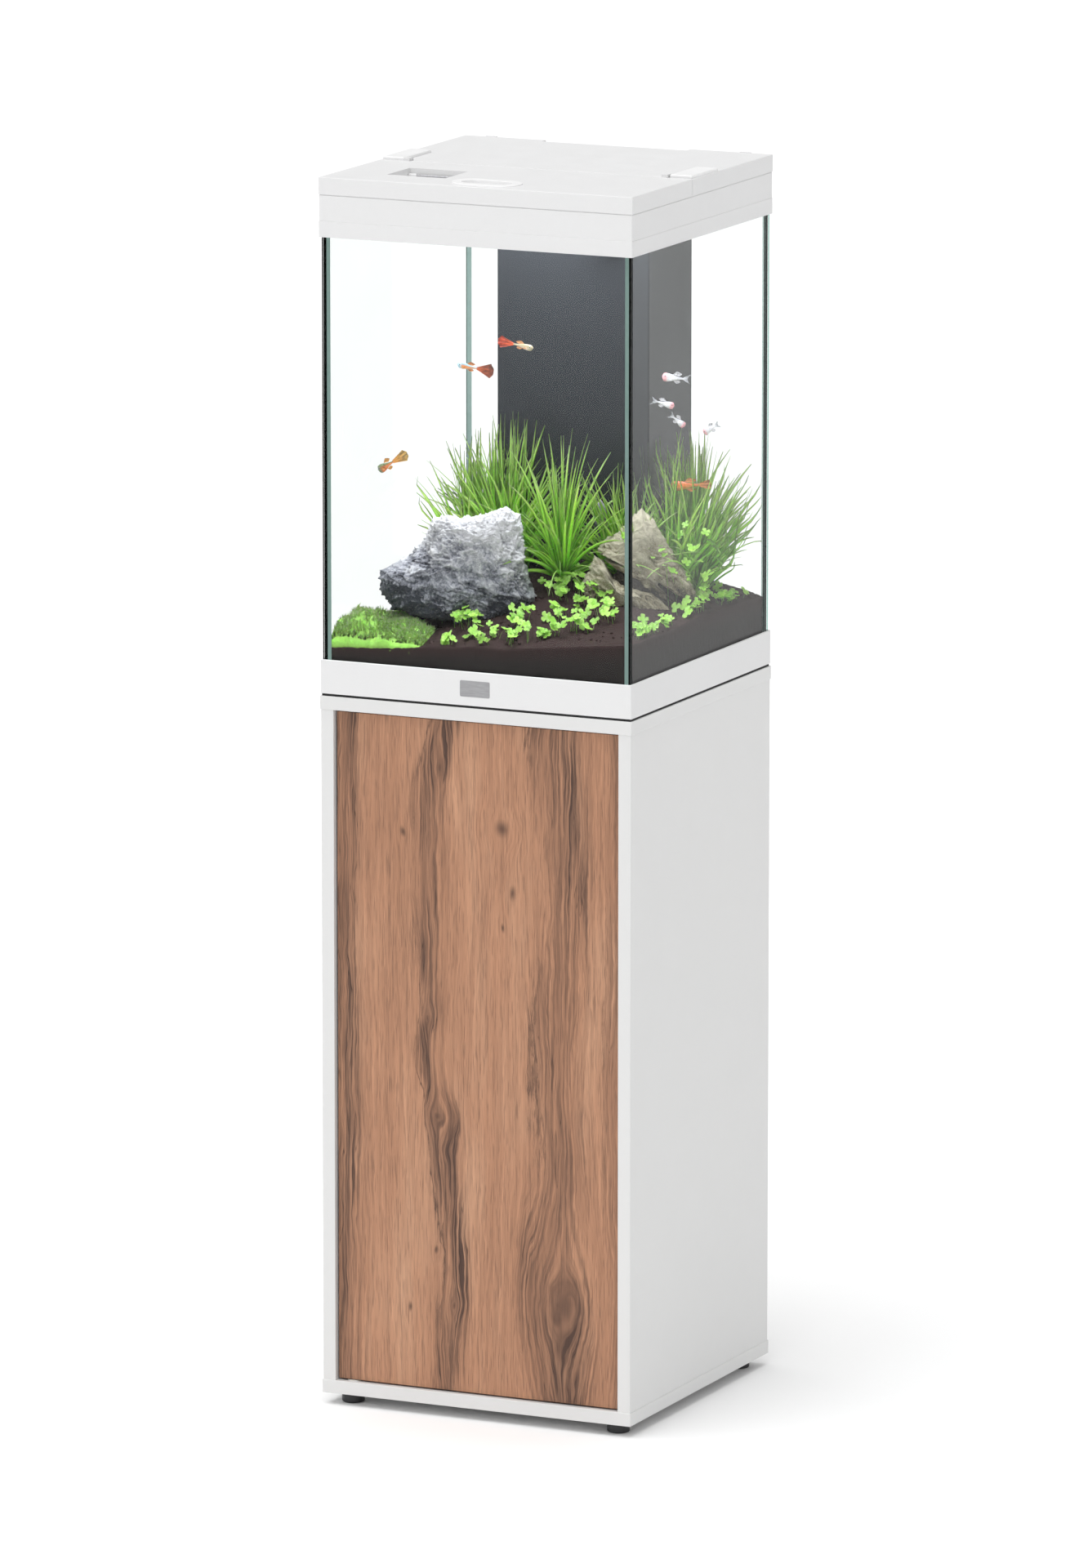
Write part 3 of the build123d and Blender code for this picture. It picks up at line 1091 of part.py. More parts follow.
# Fish: spindles. Place, length, height of the body, the way the head points in plan and its climb.
fish_list = [
    ((10.0, -100.0, 1266.0), 40.0, 11.0, 0.0, 5.0),
    ((-68.0, -60.0, 1229.0), 40.0, 12.0, 180.0, -8.0),
    ((-146.0, -120.0, 1119.0), 34.0, 13.0, 180.0, -35.0),
    ((136.0, 60.0, 1213.0), 30.0, 9.0, 200.0, 6.0),
    ((128.0, 42.0, 1185.0), 26.0, 9.0, 205.0, 14.0),
    ((134.0, 70.0, 1161.0), 22.0, 8.0, 160.0, -30.0),
    ((166.0, 95.0, 1150.0), 20.0, 8.0, 190.0, -10.0),
    ((146.0, 76.0, 1084.0), 40.0, 11.0, 190.0, -4.0),
]
with BuildPart() as fish:
    for place, length, height, heading, climb in fish_list:
        turn = math.radians(heading)
        rise = math.radians(climb)
        nose = (math.cos(turn) * math.cos(rise), math.sin(turn) * math.cos(rise), math.sin(rise))
        turned = Plane(place, x_dir=nose, z_dir=(-math.sin(turn), math.cos(turn), 0))
        with BuildSketch(turned):
            with BuildLine():
                Polyline((-length / 2, 0), (-length / 8, height * 0.4), (length / 5, height / 2),
                         (length * 0.42, height * 0.3), (length / 2, 0), close=True)
            make_face()
        revolve(axis=Axis(turned.origin, turned.x_dir))
fish.part.label = "fish"
export_step(fish.part, "parts/fish.step")
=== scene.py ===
import itertools
import json

import bpy
import numpy as np
from mathutils import Euler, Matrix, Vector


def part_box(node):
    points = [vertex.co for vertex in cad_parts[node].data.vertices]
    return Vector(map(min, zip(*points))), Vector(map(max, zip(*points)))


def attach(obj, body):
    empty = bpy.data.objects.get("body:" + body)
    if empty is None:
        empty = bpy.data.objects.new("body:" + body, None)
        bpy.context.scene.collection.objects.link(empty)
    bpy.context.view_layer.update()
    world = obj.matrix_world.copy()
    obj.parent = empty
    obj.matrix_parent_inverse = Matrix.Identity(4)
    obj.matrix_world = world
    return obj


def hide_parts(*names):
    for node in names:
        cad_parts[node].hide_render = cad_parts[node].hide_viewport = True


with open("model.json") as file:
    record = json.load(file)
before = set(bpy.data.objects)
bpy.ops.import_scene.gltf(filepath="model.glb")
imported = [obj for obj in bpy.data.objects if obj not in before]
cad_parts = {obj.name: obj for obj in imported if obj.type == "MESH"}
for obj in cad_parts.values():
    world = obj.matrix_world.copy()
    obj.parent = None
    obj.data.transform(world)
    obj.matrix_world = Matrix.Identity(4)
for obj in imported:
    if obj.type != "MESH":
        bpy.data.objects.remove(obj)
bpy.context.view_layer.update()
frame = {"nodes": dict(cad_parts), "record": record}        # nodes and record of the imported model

MM = 0.001
TAU = 2 * np.pi
# Large primes that mix whole-number places and a seed into a hash.
ACROSS_PRIME, ALONG_PRIME, UP_PRIME, SEED_PRIME = 73856093, 19349663, 83492791, 26544357
FIRST_STIR, SECOND_STIR = 1274126177, 668265263


# ---------------------------------------------------------------- random heights, as whole arrays

def stir(mixed, shift, prime):
    """One step of a whole-number hash: fold the high bits down, multiply by a prime and keep 31 bits."""
    return ((mixed ^ (mixed >> shift)) * prime) & 0x7FFFFFFF


def lattice_noise(points, seed=0):
    """Smooth heights, -1 to 1: a hashed value at each whole-number corner, blended by 6t^5-15t^4+10t^3."""
    cell = np.floor(points).astype(np.int64)
    t = points - cell
    fade = t * t * t * (t * (t * 6 - 15) + 10)
    total = np.zeros(points.shape[:-1])
    for corner in itertools.product((0, 1), repeat=3):
        x, y, z = np.moveaxis(cell + np.array(corner), -1, 0)
        mixed = (x * ACROSS_PRIME) ^ (y * ALONG_PRIME) ^ (z * UP_PRIME) ^ (seed * SEED_PRIME)
        mixed = stir(stir(mixed, 13, FIRST_STIR), 15, SECOND_STIR)
        weight = np.prod(np.where(corner, fade, 1 - fade), axis=-1)
        total += weight * (mixed / 0x3FFFFFFF - 1)
    return total


def layered_noise(points, size, octaves, seed=0):
    """Lattice noise with bumps `size` across, plus the same at half the size and height, and so on."""
    total, height = np.zeros(points.shape[:-1]), 1.0
    for octave in range(octaves):
        total += height * lattice_noise(points / size + 17.3 * octave, seed + octave)
        size, height = size / 2, height / 2
    return total


def crests(points, size, octaves, seed=0):
    """Sharp crests with round hollows, from 0 to about 1: (1 - |noise|) squared.

    Each further layer has half the size and half the height.
    """
    total, height, whole = np.zeros(points.shape[:-1]), 1.0, 0.0
    for octave in range(octaves):
        total += height * (1 - np.abs(lattice_noise(points / size + 9.1 * octave, seed + octave))) ** 2
        whole += height
        size, height = size / 2, height / 2
    return total / whole


def crumbs(x, y, size, seed=0):
    """Packed crumbs, 0 to 1 high: 1 minus the squared distance to the nearest of one point per cell."""
    u, v = x / size, y / size
    column, row = np.floor(u).astype(np.int64), np.floor(v).astype(np.int64)
    nearest = np.full(np.shape(u), 4.0)
    for across, along in itertools.product((-1, 0, 1), repeat=2):
        mixed = ((column + across) * ACROSS_PRIME) ^ ((row + along) * ALONG_PRIME) ^ (seed * UP_PRIME)
        mixed = stir(mixed, 13, FIRST_STIR)
        spot_u = column + across + (mixed & 1023) / 1023
        spot_v = row + along + ((mixed >> 10) & 1023) / 1023
        nearest = np.minimum(nearest, (u - spot_u) ** 2 + (v - spot_v) ** 2)
    return np.clip(1 - nearest, 0, 1)


# ---------------------------------------------------------------- meshes from arrays

def make_piece(name, points, faces, body, replaces, material, paint=None):
    """Puts points (n, 3) in metres and faces, a list of (count, corners) arrays, into one mesh object.

    It rides on `body`, stands for the CAD node `replaces`, and may carry a colour per point called paint.
    """
    mesh = bpy.data.meshes.new(name)
    mesh.vertices.add(len(points))
    mesh.vertices.foreach_set("co", np.ascontiguousarray(points, np.float32).ravel())
    corners = np.concatenate([part.ravel() for part in faces]).astype(np.int32)
    counts = np.concatenate([np.full(len(part), part.shape[1]) for part in faces])
    mesh.loops.add(len(corners))
    mesh.loops.foreach_set("vertex_index", corners)
    mesh.polygons.add(len(counts))
    mesh.polygons.foreach_set("loop_start", np.concatenate([[0], np.cumsum(counts)[:-1]]).astype(np.int32))
    mesh.polygons.foreach_set("use_smooth", np.ones(len(counts), bool))
    mesh.update(calc_edges=True)
    if paint is not None:
        layer = mesh.attributes.new("paint", "FLOAT_COLOR", "POINT")
        rgba = np.concatenate([paint, np.ones((len(paint), 1))], axis=1)
        layer.data.foreach_set("color", np.ascontiguousarray(rgba, np.float32).ravel())
    mesh.materials.append(material)
    piece = bpy.data.objects.new(name, mesh)
    bpy.context.scene.collection.objects.link(piece)
    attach(piece, body)
    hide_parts(replaces)
    return piece


def grid_faces(rows, columns, closed=False):
    """Four-cornered faces of a rows x columns grid of points; closed joins the last column to the first."""
    row, column = np.meshgrid(np.arange(rows - 1), np.arange(columns - (not closed)), indexing="ij")
    after = (column + 1) % columns
    faces = np.stack([row * columns + column, row * columns + after,
                      (row + 1) * columns + after, (row + 1) * columns + column], axis=-1)
    return faces.reshape(-1, 4)


def grid_border(rows, columns):
    """Numbers of a grid's outer points, once around from its first corner."""
    number = np.arange(rows * columns).reshape(rows, columns)
    return np.concatenate([number[:-1, 0], number[-1, :-1], number[:0:-1, -1], number[0, :0:-1]])


def repeated(faces, copies, points_each):
    """The same faces for every copy of a shape, each copy's points following the last one's."""
    shift = (np.arange(copies) * points_each)[:, None, None]
    return (faces[None] + shift).reshape(-1, faces.shape[1])


def ball(cells):
    """Directions and faces of a welded cube with cells x cells faces a side, blown up to a ball."""
    steps = np.tan(np.linspace(-np.pi / 4, np.pi / 4, cells + 1))
    u, v = np.meshgrid(steps, steps, indexing="ij")
    one = np.ones_like(u)
    sides = [(one, u, v), (-one, v, u), (v, one, u), (u, -one, v), (u, v, one), (v, u, -one)]
    points = np.concatenate([np.stack(side, axis=-1).reshape(-1, 3) for side in sides])
    faces = repeated(grid_faces(cells + 1, cells + 1), len(sides), (cells + 1) ** 2)
    _, first, home = np.unique(np.round(points, 6), axis=0, return_index=True, return_inverse=True)
    points = points[first]
    faces = home.ravel()[faces]
    corners = points[faces]
    outward = np.cross(corners[:, 1] - corners[:, 0], corners[:, 2] - corners[:, 1])
    if (outward * corners.mean(axis=1)).sum() < 0:
        faces = faces[:, ::-1]
    return points / np.linalg.norm(points, axis=1, keepdims=True), faces


# ---------------------------------------------------------------- shader graphs

class Graph:
    """Short calls for a node tree: each adds a node, fills or links its inputs and gives an output."""

    def __init__(self, tree):
        self.tree = tree

    def fill(self, node, inputs):
        for key, value in inputs.items():
            if isinstance(value, bpy.types.NodeSocket):
                self.tree.links.new(value, node.inputs[key])
            else:
                node.inputs[key].default_value = value

    def add(self, kind, inputs=None, out=0, **settings):
        node = self.tree.nodes.new("ShaderNode" + kind)
        for name, value in settings.items():
            setattr(node, name, value)
        self.fill(node, inputs or {})
        return node.outputs[out]

    def calc(self, operation, *values, clamp=False):
        return self.add("Math", dict(enumerate(values)), operation=operation, use_clamp=clamp)

    def place(self, scale=(1, 1, 1), start=None, turn=(0, 0, 0)):
        source = self.add("TexCoord", out="Object") if start is None else start
        return self.add("Mapping", {"Vector": source, "Scale": scale, "Rotation": turn})

    def parts(self, vector):
        node = self.add("SeparateXYZ", {0: vector}).node
        return node.outputs[0], node.outputs[1], node.outputs[2]

    def noise(self, place, scale, detail=2.0, roughness=0.5, distortion=0.0):
        return self.add("TexNoise", {"Vector": place, "Scale": scale, "Detail": detail,
                                     "Roughness": roughness, "Distortion": distortion})

    def remap(self, value, low, high, to_low=0.0, to_high=1.0):
        return self.add("MapRange", {"Value": value, "From Min": low, "From Max": high, "To Min": to_low,
                                     "To Max": to_high})

    def mix(self, share, first, second, blend="MIX"):
        return self.add("Mix", {0: share, 6: first, 7: second}, out=2, data_type="RGBA", blend_type=blend)

    def ramp(self, share, stops):
        node = self.add("ValToRGB", {0: share}).node
        band = node.color_ramp.elements
        while len(band) < len(stops):
            band.new(1.0)
        for element, (at, colour) in zip(band, stops):
            element.position = at
            element.color = (*colour, 1)
        return node.outputs[0]

    def line(self, value, points):
        """A smooth curve through a few (place, height) points."""
        node = self.add("FloatCurve", {"Value": value}).node
        curve = node.mapping.curves[0]
        curve.points[0].location, curve.points[-1].location = points[0], points[-1]
        for point in points[1:-1]:
            curve.points.new(*point)
        node.mapping.update()
        return node.outputs[0]

    def bump(self, height, depth, strength=1.0):
        return self.add("Bump", {"Height": height, "Distance": depth, "Strength": strength})

    def group(self, tree, inputs, out=0):
        node = self.tree.nodes.new("ShaderNodeGroup")
        node.node_tree = tree
        self.fill(node, inputs)
        return node.outputs[out]


def new_group(name, inputs, outputs):
    """An empty shader group with named sockets; gives its tree, graph, input sockets and output node."""
    tree = bpy.data.node_groups.new(name, "ShaderNodeTree")
    kinds = {"number": "NodeSocketFloat", "colour": "NodeSocketColor", "vector": "NodeSocketVector"}
    for label, kind in inputs.items():
        tree.interface.new_socket(label, in_out="INPUT", socket_type=kinds[kind])
    for label, kind in outputs.items():
        tree.interface.new_socket(label, in_out="OUTPUT", socket_type=kinds[kind])
    given = tree.nodes.new("NodeGroupInput")
    result = tree.nodes.new("NodeGroupOutput")
    return tree, Graph(tree), given.outputs, result.inputs


def make_drift_group():
    """Slow drift of a colour towards lighter and darker, as from handling and uneven moulding."""
    tree, g, given, result = new_group(
        "colour drift", {"Place": "vector", "Colour": "colour", "Amount": "number", "Scale": "number"},
        {"Colour": "colour"})
    slow = g.noise(given["Place"], given["Scale"], 3, 0.6)
    fast = g.noise(given["Place"], g.calc("MULTIPLY", given["Scale"], 11.0), 2, 0.6)
    both = g.calc("MULTIPLY_ADD", fast, 0.35, g.calc("MULTIPLY", slow, 0.65))
    swing = g.calc("MULTIPLY", g.calc("SUBTRACT", both, 0.5), given["Amount"])
    factor = g.calc("ADD", swing, 1.0)
    tree.links.new(g.add("VectorMath", {0: given["Colour"], 3: factor}, operation="SCALE"), result["Colour"])
    return tree


def make_grain_group():
    """Pebbled grain of a moulding tool: worn-round cells with fine noise over them."""
    tree, g, given, result = new_group(
        "moulded grain", {"Place": "vector", "Scale": "number"}, {"Height": "number", "Speck": "number"})
    cells = g.add("TexVoronoi", {"Vector": given["Place"], "Scale": given["Scale"], "Smoothness": 0.6},
                  feature="SMOOTH_F1")
    fine = g.noise(given["Place"], g.calc("MULTIPLY", given["Scale"], 2.3), 2, 0.6)
    tree.links.new(g.calc("MULTIPLY_ADD", fine, 0.5, cells), result["Height"])
    tree.links.new(g.remap(fine, 0.35, 0.65), result["Speck"])
    return tree


def make_gloss_group():
    """Roughness with smudges: a base value that noise moves by Spread."""
    tree, g, given, result = new_group(
        "smudged gloss", {"Place": "vector", "Base": "number", "Spread": "number", "Scale": "number"},
        {"Roughness": "number"})
    smudge = g.remap(g.noise(given["Place"], given["Scale"], 4, 0.65), 0.3, 0.7, -1.0, 1.0)
    tree.links.new(g.calc("MULTIPLY_ADD", smudge, given["Spread"], given["Base"], clamp=True),
                   result["Roughness"])
    return tree


def make_edge_group():
    """1 on the ground edges of a pane and 0 on its two large faces, from the pane's own facing direction."""
    tree, g, given, result = new_group("pane edge", {"Facing": "vector"}, {"Edge": "number"})
    normal = g.add("TexCoord", out="Normal")
    along = g.add("VectorMath", {0: normal, 1: given["Facing"]}, out="Value", operation="DOT_PRODUCT")
    tree.links.new(g.calc("LESS_THAN", g.calc("ABSOLUTE", along), 0.5), result["Edge"])
    return tree


def make_wood_group():
    """Long fibres and pores along Z: a stretched ring pattern and short dark pores."""
    tree, g, given, result = new_group(
        "wood fibre", {"Place": "vector", "Pale": "colour", "Deep": "colour", "Rings": "number"},
        {"Colour": "colour", "Pores": "number"})
    stretched = g.place((1, 1, 0.05), given["Place"])
    wander = g.noise(g.place((1, 1, 0.25), given["Place"]), 9.0, 3, 0.55)
    rings = g.add("TexWave", {"Vector": g.place((1, 1, 0.0), given["Place"]), "Scale": given["Rings"],
                              "Phase Offset": g.calc("MULTIPLY", wander, 26.0)}, out="Fac",
                  bands_direction="X", wave_profile="SAW")
    fibre = g.noise(stretched, 620.0, 3, 0.7)
    share = g.calc("MULTIPLY_ADD", rings, 0.28, g.calc("MULTIPLY", fibre, 0.8))
    tree.links.new(g.mix(g.remap(share, 0.15, 0.95), given["Pale"], given["Deep"]), result["Colour"])
    pores = g.noise(g.place((1, 1, 0.035), given["Place"]), 1150.0, 1, 0.5)
    tree.links.new(g.remap(pores, 0.56, 0.66), result["Pores"])
    return tree


def make_crag_group():
    """Stone: painted light above and painted shade below, with hollows, cracks and thin veins.

    paint.r is how far a spot stands out: raised spots get painted light and hollows painted shade. paint.g is
    its share of the stone's height, which paints light on the head and shade at the foot.
    """
    tree, g, given, result = new_group(
        "craggy stone",
        {"Place": "vector", "Pale": "colour", "Mid": "colour", "Dark": "colour", "Vein": "colour",
         "Scale": "number"}, {"Colour": "colour", "Height": "number"})
    proud, height = g.parts(g.add("Attribute", out="Color", attribute_name="paint"))[:2]
    blotch = g.noise(given["Place"], given["Scale"], 5, 0.62, 0.6)
    pits = g.noise(given["Place"], g.calc("MULTIPLY", given["Scale"], 9.0), 5, 0.75)
    # Upward-facing spots are painted lighter: painted light from above.
    up = g.parts(g.add("TexCoord", out="Normal"))[2]
    # lift mixes the stone's own blotches and pits with painted light and shade: lighter where a spot stands out or
    # faces up, darker in hollows.
    lift = g.calc("ADD", g.calc("MULTIPLY_ADD", blotch, 0.55, g.calc("MULTIPLY", pits, 0.95)),
                  g.calc("MULTIPLY_ADD", proud, 0.62, g.calc("MULTIPLY_ADD", up, 0.12, -1.19)))
    # Higher on the stone is lighter: painted light on the head and painted shade at the foot.
    lift = g.calc("MULTIPLY_ADD", height, 0.95, lift)
    base = g.mix(g.remap(lift, 0.0, 0.28), given["Dark"], given["Mid"])
    base = g.mix(g.remap(lift, 0.26, 0.60), base, given["Pale"])
    slanted = g.place((1, 1, 2.2), given["Place"], (0.5, 0.3, 0.2))
    seams = g.noise(slanted, g.calc("MULTIPLY", given["Scale"], 1.6), 6, 0.65, 0.5)
    thin = g.remap(g.calc("ABSOLUTE", g.calc("SUBTRACT", seams, 0.5)), 0.010, 0.0)
    veins = g.calc("MULTIPLY", thin, g.remap(pits, 0.46, 0.6))
    colour = g.mix(g.calc("MULTIPLY", veins, 0.7), base, given["Vein"])
    cracks = g.noise(slanted, g.calc("MULTIPLY", given["Scale"], 3.1), 5, 0.6, 0.8)
    cracks = g.remap(g.calc("ABSOLUTE", g.calc("SUBTRACT", cracks, 0.47)), 0.011, 0.0)
    tree.links.new(g.mix(g.calc("MULTIPLY", cracks, 0.6), colour, given["Dark"]), result["Colour"])
    depth = g.calc("MULTIPLY_ADD", pits, 0.7, g.calc("MULTIPLY", blotch, 0.3))
    tree.links.new(g.calc("MULTIPLY_ADD", cracks, -0.25, depth), result["Height"])
    return tree


def make_leaf_group():
    """Leaf colour from its paint: r runs from root to tip, g is a brightness per leaf (a random tone, and on the
    moss also painted shade between clumps), b the way across.
    """
    tree, g, given, result = new_group(
        "leaf blade", {"Root": "colour", "Blade": "colour", "Tip": "colour"},
        {"Colour": "colour", "Height": "number"})
    along, own, across = g.parts(g.add("Attribute", out="Color", attribute_name="paint"))
    colour = g.mix(g.remap(along, 0.0, 0.35), given["Root"], given["Blade"])
    colour = g.mix(g.remap(along, 0.55, 1.0), colour, given["Tip"])
    # g scales the colour: a random tone per leaf, and on the moss painted shade in the gaps between clumps.
    shade = g.remap(own, 0.0, 1.0, 0.62, 1.25)
    mottle = g.remap(g.noise(g.place(), 260.0, 3, 0.6), 0.3, 0.7, 0.88, 1.12)
    colour = g.add("VectorMath", {0: colour, 3: g.calc("MULTIPLY", shade, mottle)}, operation="SCALE")
    tree.links.new(colour, result["Colour"])
    veins = g.add("TexWave", {"Vector": g.add("CombineXYZ", {0: across}), "Scale": 2.2}, out="Fac")
    tree.links.new(veins, result["Height"])
    return tree


drift_group = make_drift_group()
grain_group = make_grain_group()
gloss_group = make_gloss_group()
edge_group = make_edge_group()
wood_group = make_wood_group()
crag_group = make_crag_group()
leaf_group = make_leaf_group()


# ---------------------------------------------------------------- finishes

def new_finish(name, **values):
    """A material with plain values on its Principled shader; gives the material, a graph and the shader."""
    finish = bpy.data.materials.new(name)
    finish.use_nodes = True
    shader = finish.node_tree.nodes["Principled BSDF"]
    for label, value in values.items():
        shader.inputs[label.replace("_", " ")].default_value = value
    return finish, Graph(finish.node_tree), shader


def link(g, shader, **sockets):
    for label, socket in sockets.items():
        g.tree.links.new(socket, shader.inputs[label.replace("_", " ")])


def drifted(g, place, colour, amount, scale):
    """A colour with slow drift, from the shared group."""
    return g.group(drift_group, {"Place": place, "Colour": (*colour, 1), "Amount": amount, "Scale": scale})


def smudged(g, place, base, spread, scale):
    """A roughness with smudges, from the shared group."""
    return g.group(gloss_group, {"Place": place, "Base": base, "Spread": spread, "Scale": scale})


def moulded(name, colour, roughness, grain, depth, drift=0.05, spread=0.06, dots=0.05, **values):
    """Injection-moulded or sheet plastic: slow colour drift, tool grain and smudged gloss."""
    finish, g, shader = new_finish(name, **values)
    place = g.place()
    tint = drifted(g, place, colour, drift, 6.0)
    speck = g.group(grain_group, {"Place": place, "Scale": grain}, "Speck")
    height = g.group(grain_group, {"Place": place, "Scale": grain})
    link(g, shader, Base_Color=g.mix(g.calc("MULTIPLY", speck, dots), tint, (0, 0, 0, 1)),
         Roughness=smudged(g, place, roughness, spread, 35.0),
         Normal=g.bump(height, depth))
    return finish


def brushed(name, colour, roughness, along, scale=900.0, depth=0.00003):
    """Bare metal with brush lines; `along` holds a small number for the direction that the lines run in."""
    finish, g, shader = new_finish(name, Metallic=1.0)
    lines = g.noise(g.place(along), scale, 3, 0.7)
    tint = drifted(g, g.place(), colour, 0.12, 14.0)
    smudge = smudged(g, g.place(), roughness, 0.08, 60.0)
    link(g, shader, Base_Color=g.mix(g.remap(lines, 0.35, 0.7, 0.0, 0.25), tint, (0.1, 0.1, 0.1, 1)),
         Roughness=g.calc("MULTIPLY_ADD", lines, 0.15, smudge), Normal=g.bump(lines, depth))
    return finish


def make_white_board():
    """Melamine-faced board: pearl texture of shallow bumps about a millimetre apart."""
    finish, g, shader = new_finish("white melamine board", Specular_IOR_Level=0.4)
    place = g.place()
    tint = drifted(g, place, (0.745, 0.745, 0.74), 0.03, 3.0)
    pearl = g.noise(place, 950.0, 2, 0.4)
    link(g, shader, Base_Color=tint, Normal=g.bump(pearl, 0.00006),
         Roughness=smudged(g, place, 0.38, 0.05, 20.0))
    return finish


def make_door_decor():
    """Walnut decor: fine fibres, smoky streaks that wander up the door, thin splits and knots."""
    finish, g, shader = new_finish("walnut decor", Specular_IOR_Level=0.35)
    low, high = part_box("door_panel")
    x, y, z = g.parts(g.place())
    across = g.remap(x, low[0], high[0])
    up = g.remap(z, low[2], high[2])
    place = g.add("CombineXYZ", {0: x, 1: g.calc("MULTIPLY", y, 0.2), 2: z})
    sway = g.calc("SUBTRACT", g.noise(g.place((1, 1, 0.3), place), 14.0, 4, 0.6), 0.5)
    across = g.calc("MULTIPLY_ADD", sway, 0.10, across)
    # Knots: place across and up the door, half width, half height.
    knots = [(0.25, 0.83, 0.014, 0.007), (0.585, 0.847, 0.040, 0.012), (0.63, 0.753, 0.018, 0.010),
             (0.59, 0.70, 0.013, 0.006), (0.35, 0.21, 0.013, 0.007), (0.405, 0.128, 0.018, 0.010),
             (0.25, 0.12, 0.012, 0.007), (0.33, 0.555, 0.020, 0.010), (0.36, 0.41, 0.026, 0.010),
             (0.37, 0.93, 0.016, 0.014), (0.81, 0.145, 0.085, 0.045)]
    pull, dark = 0.0, 0.0
    for knot_x, knot_z, half_x, half_z in knots:
        u = g.calc("DIVIDE", g.calc("SUBTRACT", across, knot_x), half_x)
        v = g.calc("DIVIDE", g.calc("SUBTRACT", up, knot_z), half_z * 1.6)
        far = g.calc("ADD", g.calc("MULTIPLY", u, u), g.calc("MULTIPLY", v, v))
        near = g.calc("EXPONENT", g.calc("MULTIPLY", far, -0.35))
        pull = g.calc("ADD", pull, g.calc("MULTIPLY", g.calc("MULTIPLY", u, near), half_x * 1.1))
        dark = g.calc("MAXIMUM", dark, g.calc("EXPONENT", g.calc("MULTIPLY", far, -2.2)))
    grain_x = g.calc("SUBTRACT", across, pull)
    grain_place = g.add("CombineXYZ", {0: grain_x, 1: 0.0, 2: up})
    # Smoky streaks: the line they follow up the door, as (height, place across), their width and depth.
    streaks = [([(0, 0.37), (0.16, 0.42), (0.27, 0.40), (0.35, 0.38), (0.42, 0.37), (0.51, 0.31),
                 (0.57, 0.35), (0.65, 0.32), (0.76, 0.34), (0.88, 0.33), (1, 0.39)], 0.048, 0.9),
               ([(0, 0.82), (0.16, 0.77), (0.22, 0.75), (0.35, 0.79), (0.5, 0.77), (0.62, 0.80), (0.75, 0.83),
                 (0.9, 0.80), (1, 0.76)], 0.085, 0.78),
               ([(0, 0.035), (0.4, 0.03), (0.7, 0.035), (1, 0.04)], 0.062, 0.72),
               ([(0, 0.99), (0.5, 0.97), (1, 1.0)], 0.03, 0.4)]
    smoke, rim = 0.0, 0.0
    for points, width, depth in streaks:
        centre = g.line(up, points)
        ragged = g.calc("SUBTRACT", g.noise(g.place((1, 1, 0.16), grain_place), 24.0, 7, 0.72), 0.5)
        off = g.calc("ADD", g.calc("SUBTRACT", grain_x, centre), g.calc("MULTIPLY", ragged, width * 2.4))
        off = g.calc("DIVIDE", off, width)
        band = g.calc("EXPONENT", g.calc("MULTIPLY", g.calc("MULTIPLY", off, off), -1.3))
        band = g.remap(band, 0.08, 0.85)
        smoke = g.calc("MAXIMUM", smoke, g.calc("MULTIPLY", band, depth))
        # A broken dark line follows the left border of each wide streak.
        border = g.calc("DIVIDE", g.calc("ADD", off, 0.95), 0.075)
        border = g.calc("EXPONENT", g.calc("MULTIPLY", g.calc("MULTIPLY", border, border), -1.0))
        rim = g.calc("MAXIMUM", rim, g.calc("MULTIPLY", border, depth))
    lines = g.noise(g.place((1, 1, 0.035), grain_place), 105.0, 4, 0.62)
    patch = g.noise(g.place((1, 1, 0.28), grain_place), 7.0, 4, 0.6)
    thick = g.calc("MULTIPLY", smoke, g.remap(patch, 0.34, 0.56, 0.4, 1.3))
    thick = g.calc("MULTIPLY", thick, g.remap(lines, 0.36, 0.62, 0.3, 1.15))
    rim = g.calc("MULTIPLY", rim, g.remap(patch, 0.40, 0.54))
    share = g.calc("ADD", g.calc("MULTIPLY", g.remap(lines, 0.32, 0.72), 0.36),
                   g.calc("MULTIPLY", thick, 0.74))
    share = g.calc("MAXIMUM", share, g.calc("MULTIPLY", dark, 0.85))
    warm = g.ramp(g.remap(patch, 0.25, 0.75), [(0.0, (0.44, 0.22, 0.127)), (0.5, (0.55, 0.285, 0.168)),
                                               (1.0, (0.65, 0.37, 0.23))])
    colour = g.mix(share, warm, (0.085, 0.045, 0.032, 1))
    # Thin splits beside the streaks: narrow lines where slow stretched noise crosses its middle value.
    split_noise = g.noise(g.place((1, 1, 0.10), grain_place), 13.0, 3, 0.6)
    split = g.remap(g.calc("ABSOLUTE", g.calc("SUBTRACT", split_noise, 0.5)), 0.0055, 0.0)
    split = g.calc("MULTIPLY", split, g.remap(g.calc("MULTIPLY", smoke, patch), 0.12, 0.35))
    colour = g.mix(g.calc("MULTIPLY", split, 0.75), colour, (0.03, 0.016, 0.012, 1))
    colour = g.mix(g.calc("MULTIPLY", rim, 0.8), colour, (0.045, 0.024, 0.018, 1))
    fibre = g.group(wood_group, {"Place": place, "Pale": (1.1, 1.09, 1.08, 1), "Deep": (0.80, 0.77, 0.74, 1),
                                 "Rings": 30.0})
    pores = g.group(wood_group, {"Place": place, "Rings": 30.0}, "Pores")
    colour = g.mix(1.0, colour, fibre, "MULTIPLY")
    colour = g.mix(g.calc("MULTIPLY", pores, 0.35), colour, (0.07, 0.04, 0.03, 1))
    height = g.calc("SUBTRACT", 1.0, g.calc("MAXIMUM", pores, split))
    link(g, shader, Base_Color=colour, Normal=g.bump(height, 0.00005),
         Roughness=g.remap(share, 0.0, 1.0, 0.42, 0.52))
    return finish


